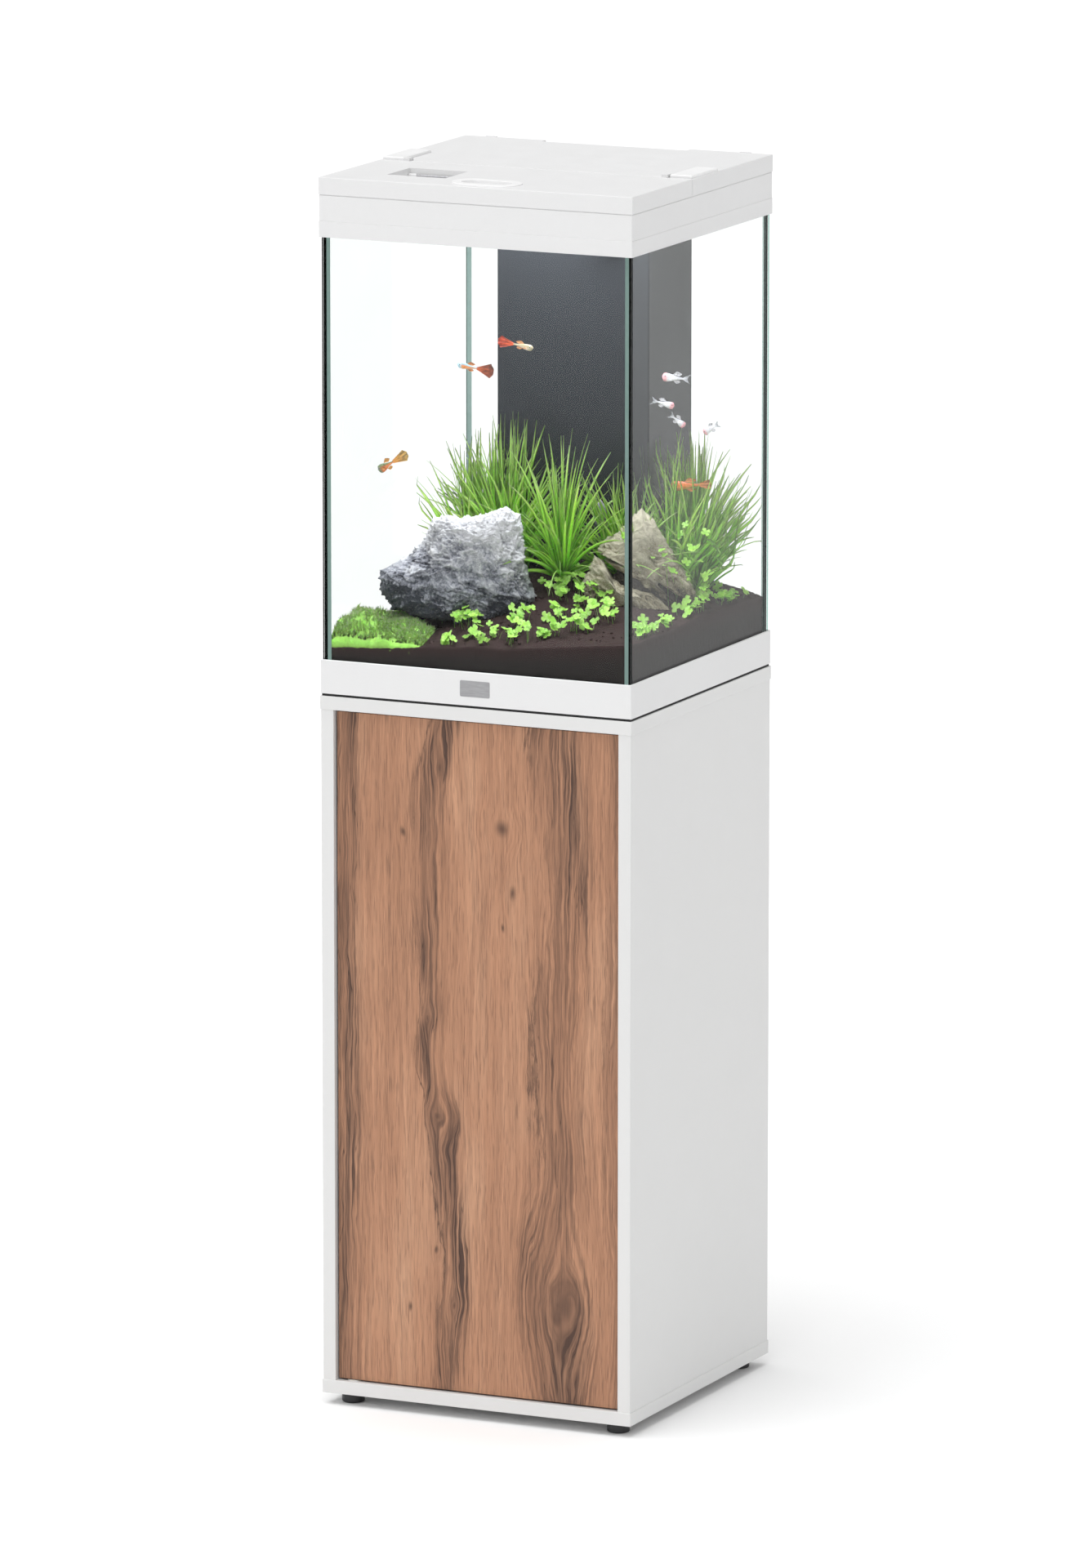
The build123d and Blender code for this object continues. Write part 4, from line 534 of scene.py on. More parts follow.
def make_beech():
    finish, g, shader = new_finish("beech dowel", Roughness=0.6)
    place = g.place(turn=(0, np.pi / 2, 0))
    values = {"Place": place, "Pale": (0.62, 0.42, 0.26, 1), "Deep": (0.44, 0.27, 0.15, 1), "Rings": 140.0}
    link(g, shader, Base_Color=g.group(wood_group, values),
         Normal=g.bump(g.group(wood_group, values, "Pores"), 0.0001, -1.0))
    return finish


def make_glass(name, facing, clear, edge, roughness=0.0):
    """Clear float glass: deep green where the ground edge shows, and light passes it without a shadow.

    Its index is set low, so that the pale surroundings don't veil what is inside.
    """
    finish, g, shader = new_finish(name, Transmission_Weight=1.0, IOR=1.15, Roughness=roughness)
    rim = g.group(edge_group, {"Facing": facing})
    smear = g.noise(g.place(), 9.0, 4, 0.6)
    pane = g.mix(g.remap(smear, 0.3, 0.7), clear, tuple(0.985 * c for c in clear[:3]) + (1,))
    link(g, shader, Base_Color=g.mix(rim, pane, edge))
    shadow = g.add("LightPath", out="Is Shadow Ray")
    through = g.add("BsdfTransparent", {"Color": (0.96, 0.985, 0.975, 1)})
    mixed = g.add("MixShader", {0: shadow, 1: shader.outputs[0], 2: through})
    g.tree.links.new(mixed, g.tree.nodes["Material Output"].inputs["Surface"])
    return finish


def make_rubber(name, colour, roughness, grain):
    """Silicone or rubber: dull sheen, fine grain and a little settled dust on the upper faces."""
    finish, g, shader = new_finish(name, Specular_IOR_Level=0.45)
    place = g.place()
    up = g.parts(g.add("TexCoord", out="Normal"))[2]
    upper = g.remap(up, 0.3, 1.0)
    settled = g.remap(g.noise(place, 70.0, 4, 0.7), 0.45, 0.75, 0.0, 0.3)
    dust = g.calc("MULTIPLY", upper, settled)
    tint = drifted(g, place, colour, 0.3, 30.0)
    link(g, shader, Base_Color=g.mix(dust, tint, (0.25, 0.24, 0.22, 1)),
         Roughness=smudged(g, place, roughness, 0.1, 80.0),
         Normal=g.bump(g.group(grain_group, {"Place": place, "Scale": grain}), 0.00008))
    return finish


def make_silicone():
    """Black sealant in the joints; inside the tank it is green-grey and carries a painted glow, an emission in that
    colour that stands in for light which the panes carry.
    """
    finish, g, shader = new_finish("black silicone", Specular_IOR_Level=0.4, Emission_Strength=0.62)
    inner_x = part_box("right_glass")[0][0]
    place = g.place()
    x = g.parts(place)[0]
    sideways = g.calc("ABSOLUTE", g.parts(g.add("TexCoord", out="Normal"))[0])
    # Mask of the sealant inside the tank, which gets the green-grey colour and the painted glow.
    inside = g.calc("MULTIPLY", g.calc("LESS_THAN", g.calc("ABSOLUTE", x), inner_x + 0.8 * MM),
                    g.calc("LESS_THAN", sideways, 0.9))
    streak = g.noise(g.place((1, 1, 0.08)), 240.0, 3, 0.6)
    bead_and_glow = g.mix(streak, (0.19, 0.27, 0.25, 1), (0.27, 0.35, 0.33, 1))
    black = drifted(g, place, (0.010, 0.014, 0.013), 0.4, 30.0)
    # The inner sealant's colour is also emitted at strength 0.62: a painted glow, not a lamp.
    link(g, shader, Base_Color=g.mix(inside, black, bead_and_glow), Normal=g.bump(streak, 0.00006),
         Emission_Color=g.mix(inside, (0, 0, 0, 1), bead_and_glow),
         Roughness=smudged(g, place, 0.3, 0.1, 80.0))
    return finish


def make_foam():
    """Open-cell filter foam: round holes between thin struts, painted near black as the shade inside the cells."""
    finish, g, shader = new_finish("open-cell foam", Roughness=0.95, Specular_IOR_Level=0.15)
    cells = g.add("TexVoronoi", {"Vector": g.place(), "Scale": 420.0}, feature="DISTANCE_TO_EDGE")
    strut = g.remap(cells, 0.0, 0.16, 1.0, 0.0)
    tint = drifted(g, g.place(), (0.075, 0.085, 0.105), 0.5, 40.0)
    # Away from the struts the colour drops to near black: painted shade in the holes.
    link(g, shader, Base_Color=g.mix(strut, (0.012, 0.013, 0.016, 1), tint), Normal=g.bump(strut, 0.0012))
    return finish


def make_led_board():
    """White circuit board with a row of yellow light-emitting chips, nine millimetres apart."""
    finish, g, shader = new_finish("light strip", Roughness=0.5, Emission_Strength=2.0)
    x = g.parts(g.place())[0]
    step = g.calc("ABSOLUTE", g.calc("SUBTRACT", g.calc("FRACT", g.calc("DIVIDE", x, 9 * MM)), 0.5))
    chip = g.calc("LESS_THAN", step, 0.2)
    track = g.remap(g.noise(g.place((1, 6, 1)), 160.0, 2), 0.48, 0.52, 0.0, 0.12)
    board = g.mix(track, (0.82, 0.82, 0.8, 1), (0.5, 0.56, 0.5, 1))
    link(g, shader, Base_Color=g.mix(chip, board, (0.92, 0.75, 0.22, 1)),
         Emission_Color=g.mix(chip, (0, 0, 0, 1), (1.0, 0.96, 0.86, 1)))
    return finish


def make_lamp_cover():
    """Milky cover with fine ribs along its length, lit from inside."""
    finish, g, shader = new_finish("milky lamp cover", Roughness=0.35, Emission_Strength=2.5)
    y = g.parts(g.place())[1]
    ribs = g.calc("SINE", g.calc("MULTIPLY", y, TAU / (1.6 * MM)))
    cloud = drifted(g, g.place(), (0.9, 0.92, 0.94), 0.06, 60.0)
    link(g, shader, Base_Color=cloud, Emission_Color=cloud, Normal=g.bump(ribs, 0.0002))
    return finish


def make_ceramic():
    finish, g, shader = new_finish("polished ceramic", Coat_Weight=0.4)
    place = g.place()
    speck = g.remap(g.noise(place, 2400.0, 2), 0.62, 0.7, 0.0, 0.3)
    link(g, shader, Base_Color=g.mix(speck, (0.86, 0.85, 0.82, 1), (0.5, 0.46, 0.4, 1)),
         Roughness=smudged(g, place, 0.15, 0.05, 200.0))
    return finish


def make_stone(name, pale, mid, dark, vein, scale, depth):
    finish, g, shader = new_finish(name, Specular_IOR_Level=0.3)
    place = g.place()
    values = {"Place": place, "Pale": pale, "Mid": mid, "Dark": dark, "Vein": vein, "Scale": scale}
    link(g, shader, Base_Color=g.group(crag_group, values),
         Normal=g.bump(g.group(crag_group, values, "Height"), depth),
         Roughness=smudged(g, place, 0.72, 0.12, 90.0))
    return finish


def make_soil():
    """Dark planting soil: reddish-brown crumbs on top, blacker where it lies deep against the glass, with painted
    shade in the gaps between crumbs.
    """
    finish, g, shader = new_finish("planting soil", Specular_IOR_Level=0.25, Roughness=0.9)
    deep, _, crumb = g.parts(g.add("Attribute", out="Color", attribute_name="paint"))
    place = g.place()
    fleck = g.noise(place, 700.0, 4, 0.7)
    top = g.mix(g.remap(fleck, 0.3, 0.72), (0.008, 0.004, 0.004, 1), (0.065, 0.034, 0.033, 1))
    low = g.mix(g.remap(fleck, 0.3, 0.75), (0.006, 0.005, 0.005, 1), (0.042, 0.034, 0.032, 1))
    colour = g.mix(deep, top, low)
    pale = g.calc("MULTIPLY", g.remap(g.noise(place, 240.0, 2, 0.5), 0.66, 0.72), 0.35)
    colour = g.mix(pale, colour, (0.17, 0.125, 0.11, 1))
    # Where the paint's crumb tone is low the colour goes to near black: painted shade in the gaps between crumbs on
    # the bed and between lumps on its wall. On the loose crumbs the tone is random.
    link(g, shader, Base_Color=g.mix(g.remap(crumb, 0.0, 0.35, 0.6, 0.0), colour, (0.006, 0.004, 0.004, 1)),
         Normal=g.bump(g.noise(place, 1500.0, 4, 0.7), 0.0006))
    return finish


def make_leaf(name, root, blade, tip, gloss):
    """Fresh leaf: lets light through a little, with faint lengthwise veins."""
    finish, g, shader = new_finish(name, Roughness=gloss, Subsurface_Weight=0.5, Subsurface_Scale=0.003,
                                   Subsurface_Radius=(0.5, 1.0, 0.2), Specular_IOR_Level=0.22)
    values = {"Root": root, "Blade": blade, "Tip": tip}
    link(g, shader, Base_Color=g.group(leaf_group, values),
         Normal=g.bump(g.group(leaf_group, values, "Height"), 0.0002))
    return finish


def make_fish_skin():
    """Painted coat with small overlapping scales and a wet shine."""
    finish, g, shader = new_finish("fish skin", Coat_Weight=0.5, Specular_IOR_Level=0.5)
    coat = g.add("Attribute", out="Color", attribute_name="paint")
    place = g.place()
    scales = g.add("TexVoronoi", {"Vector": g.place((1, 1, 1.4)), "Scale": 900.0, "Smoothness": 0.3},
                   feature="SMOOTH_F1")
    sheen = g.remap(g.noise(place, 420.0, 3, 0.6), 0.35, 0.7, 0.82, 1.15)
    link(g, shader, Base_Color=g.add("VectorMath", {0: coat, 3: sheen}, operation="SCALE"),
         Roughness=smudged(g, place, 0.34, 0.08, 300.0),
         Normal=g.bump(scales, 0.0002))
    return finish


white_plastic = moulded("grained white plastic", (0.81, 0.81, 0.812), 0.46, 1700.0, 0.00010, drift=0.035)
finishes = {
    "white_board": make_white_board(),
    "door_decor": make_door_decor(),
    "white_plastic": white_plastic,
    "black_plastic": moulded("black plastic", (0.022, 0.022, 0.024), 0.42, 1400.0, 0.00008, drift=0.2),
    "grey_plastic": moulded("light grey plastic", (0.42, 0.43, 0.44), 0.45, 1500.0, 0.00008, drift=0.08),
    "dark_plastic": moulded("smooth dark plastic", (0.028, 0.030, 0.034), 0.24, 900.0, 0.0000005, drift=0.06,
                            spread=0.02, dots=0.0, Specular_IOR_Level=0.22),
    "red_plastic": moulded("red plastic", (0.55, 0.035, 0.03), 0.35, 1500.0, 0.00006, drift=0.12),
    "nylon": moulded("natural nylon", (0.74, 0.73, 0.68), 0.48, 900.0, 0.00005, drift=0.06,
                     Subsurface_Weight=0.1, Subsurface_Scale=0.002),
    "steel": brushed("zinc-plated steel", (0.60, 0.60, 0.62), 0.28, (1, 1, 0.15)),
    "badge_metal": brushed("brushed badge metal", (0.42, 0.42, 0.43), 0.34, (0.06, 1, 1), 1400.0),
    "lamp_aluminium": brushed("anodised aluminium", (0.66, 0.67, 0.69), 0.36, (0.03, 1, 1), 1100.0, 0.00002),
    "beech": make_beech(),
    "lamp_cover": make_lamp_cover(),
    "led_board": make_led_board(),
    "heater_glass": make_glass("heater tube glass", (0, 0, 1), (0.78, 0.83, 0.84, 1),
                               (0.6, 0.66, 0.67, 1), 0.02),
    "black_silicone": make_silicone(),
    "black_rubber": make_rubber("black rubber", (0.018, 0.018, 0.018), 0.7, 1300.0),
    "filter_foam": make_foam(),
    "ceramic_shaft": make_ceramic(),
}
clear_green = (0.975, 0.99, 0.985, 1)
edge_green = (0.10, 0.27, 0.215, 1)
pane_facing = {"front_glass": (0, 1, 0), "back_glass": (0, 1, 0), "left_glass": (1, 0, 0),
               "right_glass": (1, 0, 0), "bottom_glass": (0, 0, 1)}
pane_finishes = {pane: make_glass(f"{pane} float glass", facing, clear_green, edge_green)
                 for pane, facing in pane_facing.items()}
grey_finish = make_stone("grey stone", (0.76, 0.75, 0.78, 1), (0.36, 0.365, 0.42, 1), (0.065, 0.07, 0.09, 1),
                         (0.84, 0.84, 0.87, 1), 34.0, 0.0026)
brown_finish = make_stone("brown stone", (0.60, 0.55, 0.42, 1), (0.33, 0.285, 0.19, 1),
                          (0.045, 0.036, 0.028, 1), (0.62, 0.57, 0.42, 1), 62.0, 0.0022)
soil_finish = make_soil()
grass_finish = make_leaf("grass blade", (0.17, 0.46, 0.06, 1), (0.38, 0.97, 0.10, 1),
                         (0.58, 1.0, 0.26, 1), 0.42)
clover_finish = make_leaf("creeper leaf", (0.20, 0.46, 0.07, 1), (0.30, 0.74, 0.08, 1),
                          (0.42, 0.86, 0.14, 1), 0.4)
moss_finish = make_leaf("moss", (0.30, 0.34, 0.10, 1), (0.46, 0.93, 0.17, 1), (0.85, 1.0, 0.5, 1), 0.6)
fish_finish = make_fish_skin()

satin_white = moulded("satin white plastic", (0.93, 0.93, 0.93), 0.36, 2400.0, 0.00002, drift=0.02)
own_finishes = {**pane_finishes, "grip_ring": satin_white, "hinge_blocks": satin_white}

for part in frame["record"]["subparts"]:
    finish = own_finishes.get(part["node"], finishes.get(part["material_slot"]))
    if finish is not None:
        holder = frame["nodes"][part["node"]]
        holder.data.materials.clear()
        holder.data.materials.append(finish)


# ---------------------------------------------------------------- soil

soil_low, soil_high = (np.array(corner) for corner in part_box("soil_bed"))
column_low, column_high = (np.array(corner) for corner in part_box("filter_housing"))
base_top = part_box("base_frame")[1][2]
crest_x = 20 * MM
# Rows of the soil: y, then heights above the base frame at the left pane, on the crest and at the right.
soil_rows = np.array([(soil_low[1] / MM, 13, 28, 43), (30, 28, 94, 46), (soil_high[1] / MM, 42, 80, 41)]) * MM


def soil_top(x, y):
    """Height of the soil: three rows of three heights, each blended by a half cosine both ways."""
    rows = [np.interp(y, soil_rows[:, 0], soil_rows[:, side]) for side in (1, 2, 3)]
    left = (x - soil_low[0]) / (crest_x - soil_low[0])
    right = (x - crest_x) / (soil_high[0] - crest_x)
    rise = np.where(x < crest_x, rows[0] + (rows[1] - rows[0]) * (left + 0.35 * np.sin(TAU * left) / -TAU),
                    rows[1] + (rows[2] - rows[1]) * right)
    return base_top + rise


def make_soil_bed():
    """A square of heights with its rim dropped to the bottom: smooth hills, plus crumbs of three sizes.

    Inside the filter column's outline the heights drop away; below the rim the wall's crumbs push inwards.
    """
    cells, wall_rows, inset = 236, 16, 0.9 * MM
    x_line = np.linspace(soil_low[0], soil_high[0], cells)
    y_line = np.linspace(soil_low[1], soil_high[1], cells)
    x, y = np.meshgrid(x_line, y_line, indexing="ij")
    flat = np.stack([x, y, np.zeros_like(x)], axis=-1)
    crumb = (0.55 * crumbs(x, y, 3.6 * MM, 1) + 0.35 * crumbs(x, y, 2.3 * MM, 2)
             + 0.3 * crumbs(x, y, 6.5 * MM, 3))
    hills = layered_noise(flat, 45 * MM, 3, 4) * 1.6 * MM
    z = soil_top(x, y) + hills + crumb * 2.6 * MM - 2.0 * MM
    hidden = (np.abs(x) < column_high[0] - MM) & (y > column_low[1] + MM)
    z = np.where(hidden, soil_low[2] + 0.5 * MM, z)
    top = np.stack([x, y, z], axis=-1).reshape(-1, 3)
    ring = grid_border(cells, cells)
    rim = top[ring]
    share = (np.arange(1, wall_rows + 1) / wall_rows)[:, None]
    wall = np.repeat(rim[None], wall_rows, axis=0)
    wall[..., 2] = rim[:, 2] + (soil_low[2] - rim[:, 2]) * share
    along = np.where(np.abs(rim[:, 0]) > np.abs(rim[:, 1]), rim[:, 1], rim[:, 0] + 1.0)
    lumps = crumbs(np.repeat(along[None], wall_rows, axis=0), wall[..., 2], 2.8 * MM, 7)
    push = 1 - inset * (1 - lumps) / soil_high[0]
    wall[..., :2] *= push[..., None]
    points = np.concatenate([top, wall.reshape(-1, 3)])
    low_rings = len(top) + np.arange(wall_rows * len(ring)).reshape(wall_rows, -1)
    rings = np.concatenate([ring[None], low_rings])
    after = np.roll(rings, -1, axis=1)
    sides = np.stack([rings[:-1], rings[1:], after[1:], after[:-1]], axis=-1).reshape(-1, 4)
    depth = np.concatenate([np.zeros(len(top)), np.repeat(np.clip(share[:, 0] * 3, 0, 1), len(ring))])
    # The crumb heights on top and the lumps on the wall go into the paint as a tone; the soil shader turns low tone
    # into painted shade between them.
    tone = np.concatenate([crumb.ravel(), lumps.ravel()])
    paint = np.stack([depth, np.zeros_like(depth), tone], axis=-1)
    make_piece("planting_soil", points, [grid_faces(cells, cells)[:, ::-1], sides, rings[-1][None, ::-1]],
               "stand_and_tank", "soil_bed", soil_finish, paint)


def scatter_pebbles():
    """Loose crumbs on the soil: small dented balls, each stretched and half sunk at a random spot."""
    random = np.random.default_rng(11)
    count = 900
    directions, faces = ball(3)
    x = random.uniform(soil_low[0] + 3 * MM, soil_high[0] - 3 * MM, count)
    y = random.uniform(soil_low[1] + 3 * MM, soil_high[1] - 3 * MM, count)
    kept = ~((np.abs(x) < column_high[0] + 3 * MM) & (y > column_low[1] - 3 * MM))
    x, y = x[kept], y[kept]
    size = random.uniform(0.9, 1.9, (len(x), 1, 3)) * MM
    dents = 1 + random.normal(0, 0.13, (len(x), len(directions), 1))
    centre = np.stack([x, y, soil_top(x, y) + random.uniform(-0.6, 0.6, len(x)) * MM], axis=-1)
    points = directions[None] * dents * size + centre[:, None]
    tone = np.repeat(random.uniform(0.2, 1.0, (len(x), 1)), len(directions), axis=1)
    paint = np.stack([np.zeros_like(tone), tone, tone], axis=-1)
    make_piece("loose_crumbs", points.reshape(-1, 3), [repeated(faces, len(x), len(directions))],
               "stand_and_tank", "soil_bed", soil_finish, paint.reshape(-1, 3))


# ---------------------------------------------------------------- stones

def make_stone_piece(name, lumps, turn, cells, seed, cut, rough, shade_slope, node, finish):
    """One stone: balls stretched to outlines, cut flat in places and carved by crests and pits.

    Each lump has a centre, an outline of (across, up) corners in the upright plane that `turn` sets, half a
    depth and a tone added to its paint. `shade_slope` tips the line between the painted shade at the stone's
    foot and the painted light on its head.
    A direction's part in that plane picks the outline's reach at its angle, and its part across the plane
    picks the depth; low powers make the form blocky. Random planes shave the ball to at most `cut`.
    """
    random = np.random.default_rng(seed)
    directions, faces = ball(cells)
    across = np.array([np.cos(turn), np.sin(turn), 0.0])
    depth_axis = np.array([-np.sin(turn), np.cos(turn), 0.0])
    points_all, faces_all, proud_all, shift = [], [], [], 0
    for centre, outline, half_depth, tone in lumps:
        corners = np.array(outline, float) * MM
        angles = np.arctan2(corners[:, 1], corners[:, 0])
        order = np.argsort(angles)
        u, v, w = directions @ across, directions[:, 2], directions @ depth_axis
        flat = np.hypot(u, v)
        # The outline's reach at an angle is where the ray crosses the straight side between two corners.
        lap = np.append(order, order[0])
        first, second = corners[lap[:-1]], corners[lap[1:]]
        ray = np.stack([u, v], axis=-1) / np.maximum(flat, 1e-9)[:, None]
        section = np.searchsorted(angles[order], np.arctan2(v, u), side="right") - 1
        section = section % len(order)
        a, b = first[section], second[section]
        side = b - a
        crossed = a[:, 0] * side[:, 1] - a[:, 1] * side[:, 0]
        reach = crossed / (ray[:, 0] * side[:, 1] - ray[:, 1] * side[:, 0])
        planes = random.normal(size=(26, 3))
        planes /= np.linalg.norm(planes, axis=1, keepdims=True)
        facing = directions @ planes.T
        levels = random.uniform(cut, 1.0, len(planes))
        shave = np.min(np.where(facing > 0.05, levels / np.maximum(facing, 0.05), 9.0), axis=1)
        shave = np.minimum(shave, 1.0)
        middle = np.array(centre) * MM
        in_plane = ray[:, :1] * across + ray[:, 1:] * [0, 0, 1]
        spread = reach * flat ** 0.55 * (0.35 + 0.65 * shave)
        depth = half_depth * MM * np.sign(w) * np.abs(w) ** 0.6 * shave
        body = middle + (spread[:, None] * in_plane + depth[:, None] * depth_axis)
        outward = body - middle
        outward /= np.linalg.norm(outward, axis=1, keepdims=True)
        shifts = [lattice_noise(body / (30 * MM) + k, seed + k) for k in range(3)]
        warp = body + 6 * MM * np.stack(shifts, axis=-1)
        slant = warp * [1.0, 1.0, 1.7] + warp[:, [2, 0, 1]] * 0.35
        carve = (crests(slant, 42 * MM, 2, seed + 5) - 0.55) * 7.5
        carve += (crests(slant, 15 * MM, 3, seed + 8) - 0.5) * 6.5
        layer = slant @ [0.35, 0.2, 0.9] / (10.5 * MM) + 0.9 * lattice_noise(slant / (21 * MM), seed + 15)
        carve += ((layer % 1.0) - 0.5) * 1.8
        fine = (crests(slant, 4.6 * MM, 2, seed + 12) - 0.5) * 3.0
        fine = fine + layered_noise(warp, 2.2 * MM, 2, seed + 3) * 0.4
        lift = (carve + fine) * rough
        points_all.append(body + outward * lift[:, None] * MM)
        faces_all.append(faces + shift)
        # paint.r: lighter where the stone stands out and darker in its hollows, as painted light and shade, plus
        # the lump's tone.
        proud_all.append(np.clip(0.5 + lift / (13 * rough), 0, 1) + tone)
        shift += len(body)
    points = np.concatenate(points_all)
    proud = np.concatenate(proud_all)
    # paint.g: the share of height along the tipped line, which the shader paints light at the head and shade at the
    # foot.
    height = points @ (np.array([0, 0, 1.0]) + shade_slope * across)
    height = (height - height.min()) / (height.max() - height.min())
    paint = np.stack([proud, height, np.zeros_like(proud)], axis=-1)
    make_piece(name, points, [np.concatenate(faces_all)], "stand_and_tank", node, finish, paint)


facing_turn = np.radians(25.0)  # the stones' upright planes face the right front
# Outlines of the stones in their upright planes: (across, up) corners in millimetres from a lump's centre.
grey_outline = [(-100, -28), (-97, -6), (-72, 6), (-50, 26), (-40, 58), (-22, 66), (-8, 58), (20, 66),
                (52, 76), (62, 60), (70, 30), (74, 6), (84, -24), (92, -48), (70, -66), (0, -72), (-60, -66),
                (-88, -50)]
upper_outline = [(-54, 22), (-34, 42), (-18, 60), (-4, 70), (12, 60), (26, 34), (40, 8), (56, -22), (68, -48),
                 (60, -62), (44, -50), (22, -24), (4, -4), (-20, 8), (-44, 12)]
lower_outline = [(-40, 10), (-28, 42), (-16, 34), (-6, 14), (16, 4), (40, -2), (62, -22), (86, -48),
                 (92, -62), (60, -72), (20, -72), (-20, -52), (-38, -20)]
small_outline = [(-14, -30), (-13, 6), (-6, 32), (0, 44), (7, 30), (14, 4), (15, -30), (0, -40)]
shadow_core_outline = [(-30, -10), (-10, 26), (14, 12), (40, -12), (62, -40), (50, -56), (0, -50), (-24, -34)]
# Lumps: centre, outline, half depth and tone. The third lump fills the gap between the two slabs; its tone of -2.5
# paints it near black, a painted shadow in the gap.
slabs = [((118, 12, 992), upper_outline, 24, -0.12), ((98, -14, 968), lower_outline, 24, 0.0),
         ((112, 4, 980), shadow_core_outline, 13, -2.5)]
make_stone_piece("grey_crag", [((-62, -92, 998), grey_outline, 40, 0.0)], facing_turn, 104, 21, 0.80, 1.0,
                 0.35, "grey_stone", grey_finish)
make_stone_piece("brown_slabs", slabs, facing_turn, 70, 35, 0.86, 0.7, 0.0, "brown_stones",
                 brown_finish)
make_stone_piece("small_stone", [((47, 48, 1022), small_outline, 12, -0.75)], facing_turn, 46, 52, 0.8, 0.5,
                 0.0, "brown_stones", grey_finish)


# ---------------------------------------------------------------- plants

def curved_strips(roots, heading, rise, droop, length, width, rings, keel, twist=0.0):
    """Closed leaf blades: centre lines that start at `rise` and bend over by `droop` towards the tip.

    A ring of four points follows each line: left edge, raised keel, right edge and underside. Its width
    grows over the first fifth and tapers to a point, and `twist` turns a blade's flat about its own line.
    Gives points (blades, rings, 4, 3) and the share along the line.
    """
    t = np.linspace(0, 1, rings)
    tilt = rise[:, None] - droop[:, None] * t[None] ** 1.4
    step = length[:, None] / (rings - 1)
    run = np.cumsum(np.cos(tilt) * step, axis=1) - np.cos(tilt[:, :1]) * step
    climb = np.cumsum(np.sin(tilt) * step, axis=1) - np.sin(tilt[:, :1]) * step
    out = np.stack([np.cos(heading), np.sin(heading), np.zeros_like(heading)], axis=-1)
    side = np.stack([-np.sin(heading), np.cos(heading), np.zeros_like(heading)], axis=-1)
    line = roots[:, None] + run[..., None] * out[:, None] + climb[..., None] * np.array([0, 0, 1.0])
    half = width[:, None] / 2 * np.minimum(1, 0.45 + 2.8 * t) * np.clip(1.02 - t, 0, 1) ** 0.55
    up = -np.sin(tilt)[..., None] * out[:, None] + np.cos(tilt)[..., None] * np.array([0, 0, 1.0])
    roll = (np.zeros(len(roots)) + twist)[:, None, None]
    level = side[:, None]
    side, up = (level * np.cos(roll) + up * np.sin(roll), up * np.cos(roll) - level * np.sin(roll))
    reach = half[..., None] * side
    thick = (0.16 * half)[..., None] * up
    ring = np.stack([line - reach + keel * thick, line + thick * 0.4, line + reach + keel * thick,
                     line - thick * 0.8], axis=2)
    return ring, t


def strip_faces(count, rings):
    tube = grid_faces(rings, 4, closed=True)
    ends = np.array([[0, 1, 2, 3], [4 * rings - 1, 4 * rings - 2, 4 * rings - 3, 4 * rings - 4]])
    return repeated(np.concatenate([tube, ends]), count, 4 * rings)[:, ::-1]


def strip_paint(count, t, shade, across=(0.0, 0.5, 1.0, 0.5)):
    along = np.broadcast_to(t[None, :, None], (count, len(t), 4))
    own = np.broadcast_to(shade[:, None, None], along.shape)
    place = np.broadcast_to(np.array(across), along.shape)
    return np.stack([along, own, place], axis=-1).reshape(-1, 3)


glass_reach = soil_high[0] - 2.0 * MM
# Tufts: name, root centre x and y, root spread x and y, blades, plants that they grow from, length from and
# to, upright from and to in degrees, bend from and to in degrees, blade width from and to, and "right" where
# the tuft keeps to the right of the filter column; the others keep in front of it.
tufts = [
    ("rear_left_grass", (-74, 28), (42, 18), 400, 11, (110, 208), (58, 95), (2, 60), (4.6, 8.2), None),
    ("middle_grass", (24, -4), (9, 8), 140, 2, (80, 185), (34, 92), (8, 88), (4.2, 6.8), None),
    ("gap_grass", (74, 44), (30, 14), 190, 5, (75, 150), (42, 92), (8, 75), (4.2, 6.6), None),
    ("rear_right_grass", (130, 92), (22, 32), 360, 9, (100, 205), (48, 96), (4, 72), (4.6, 7.6), "right"),
]


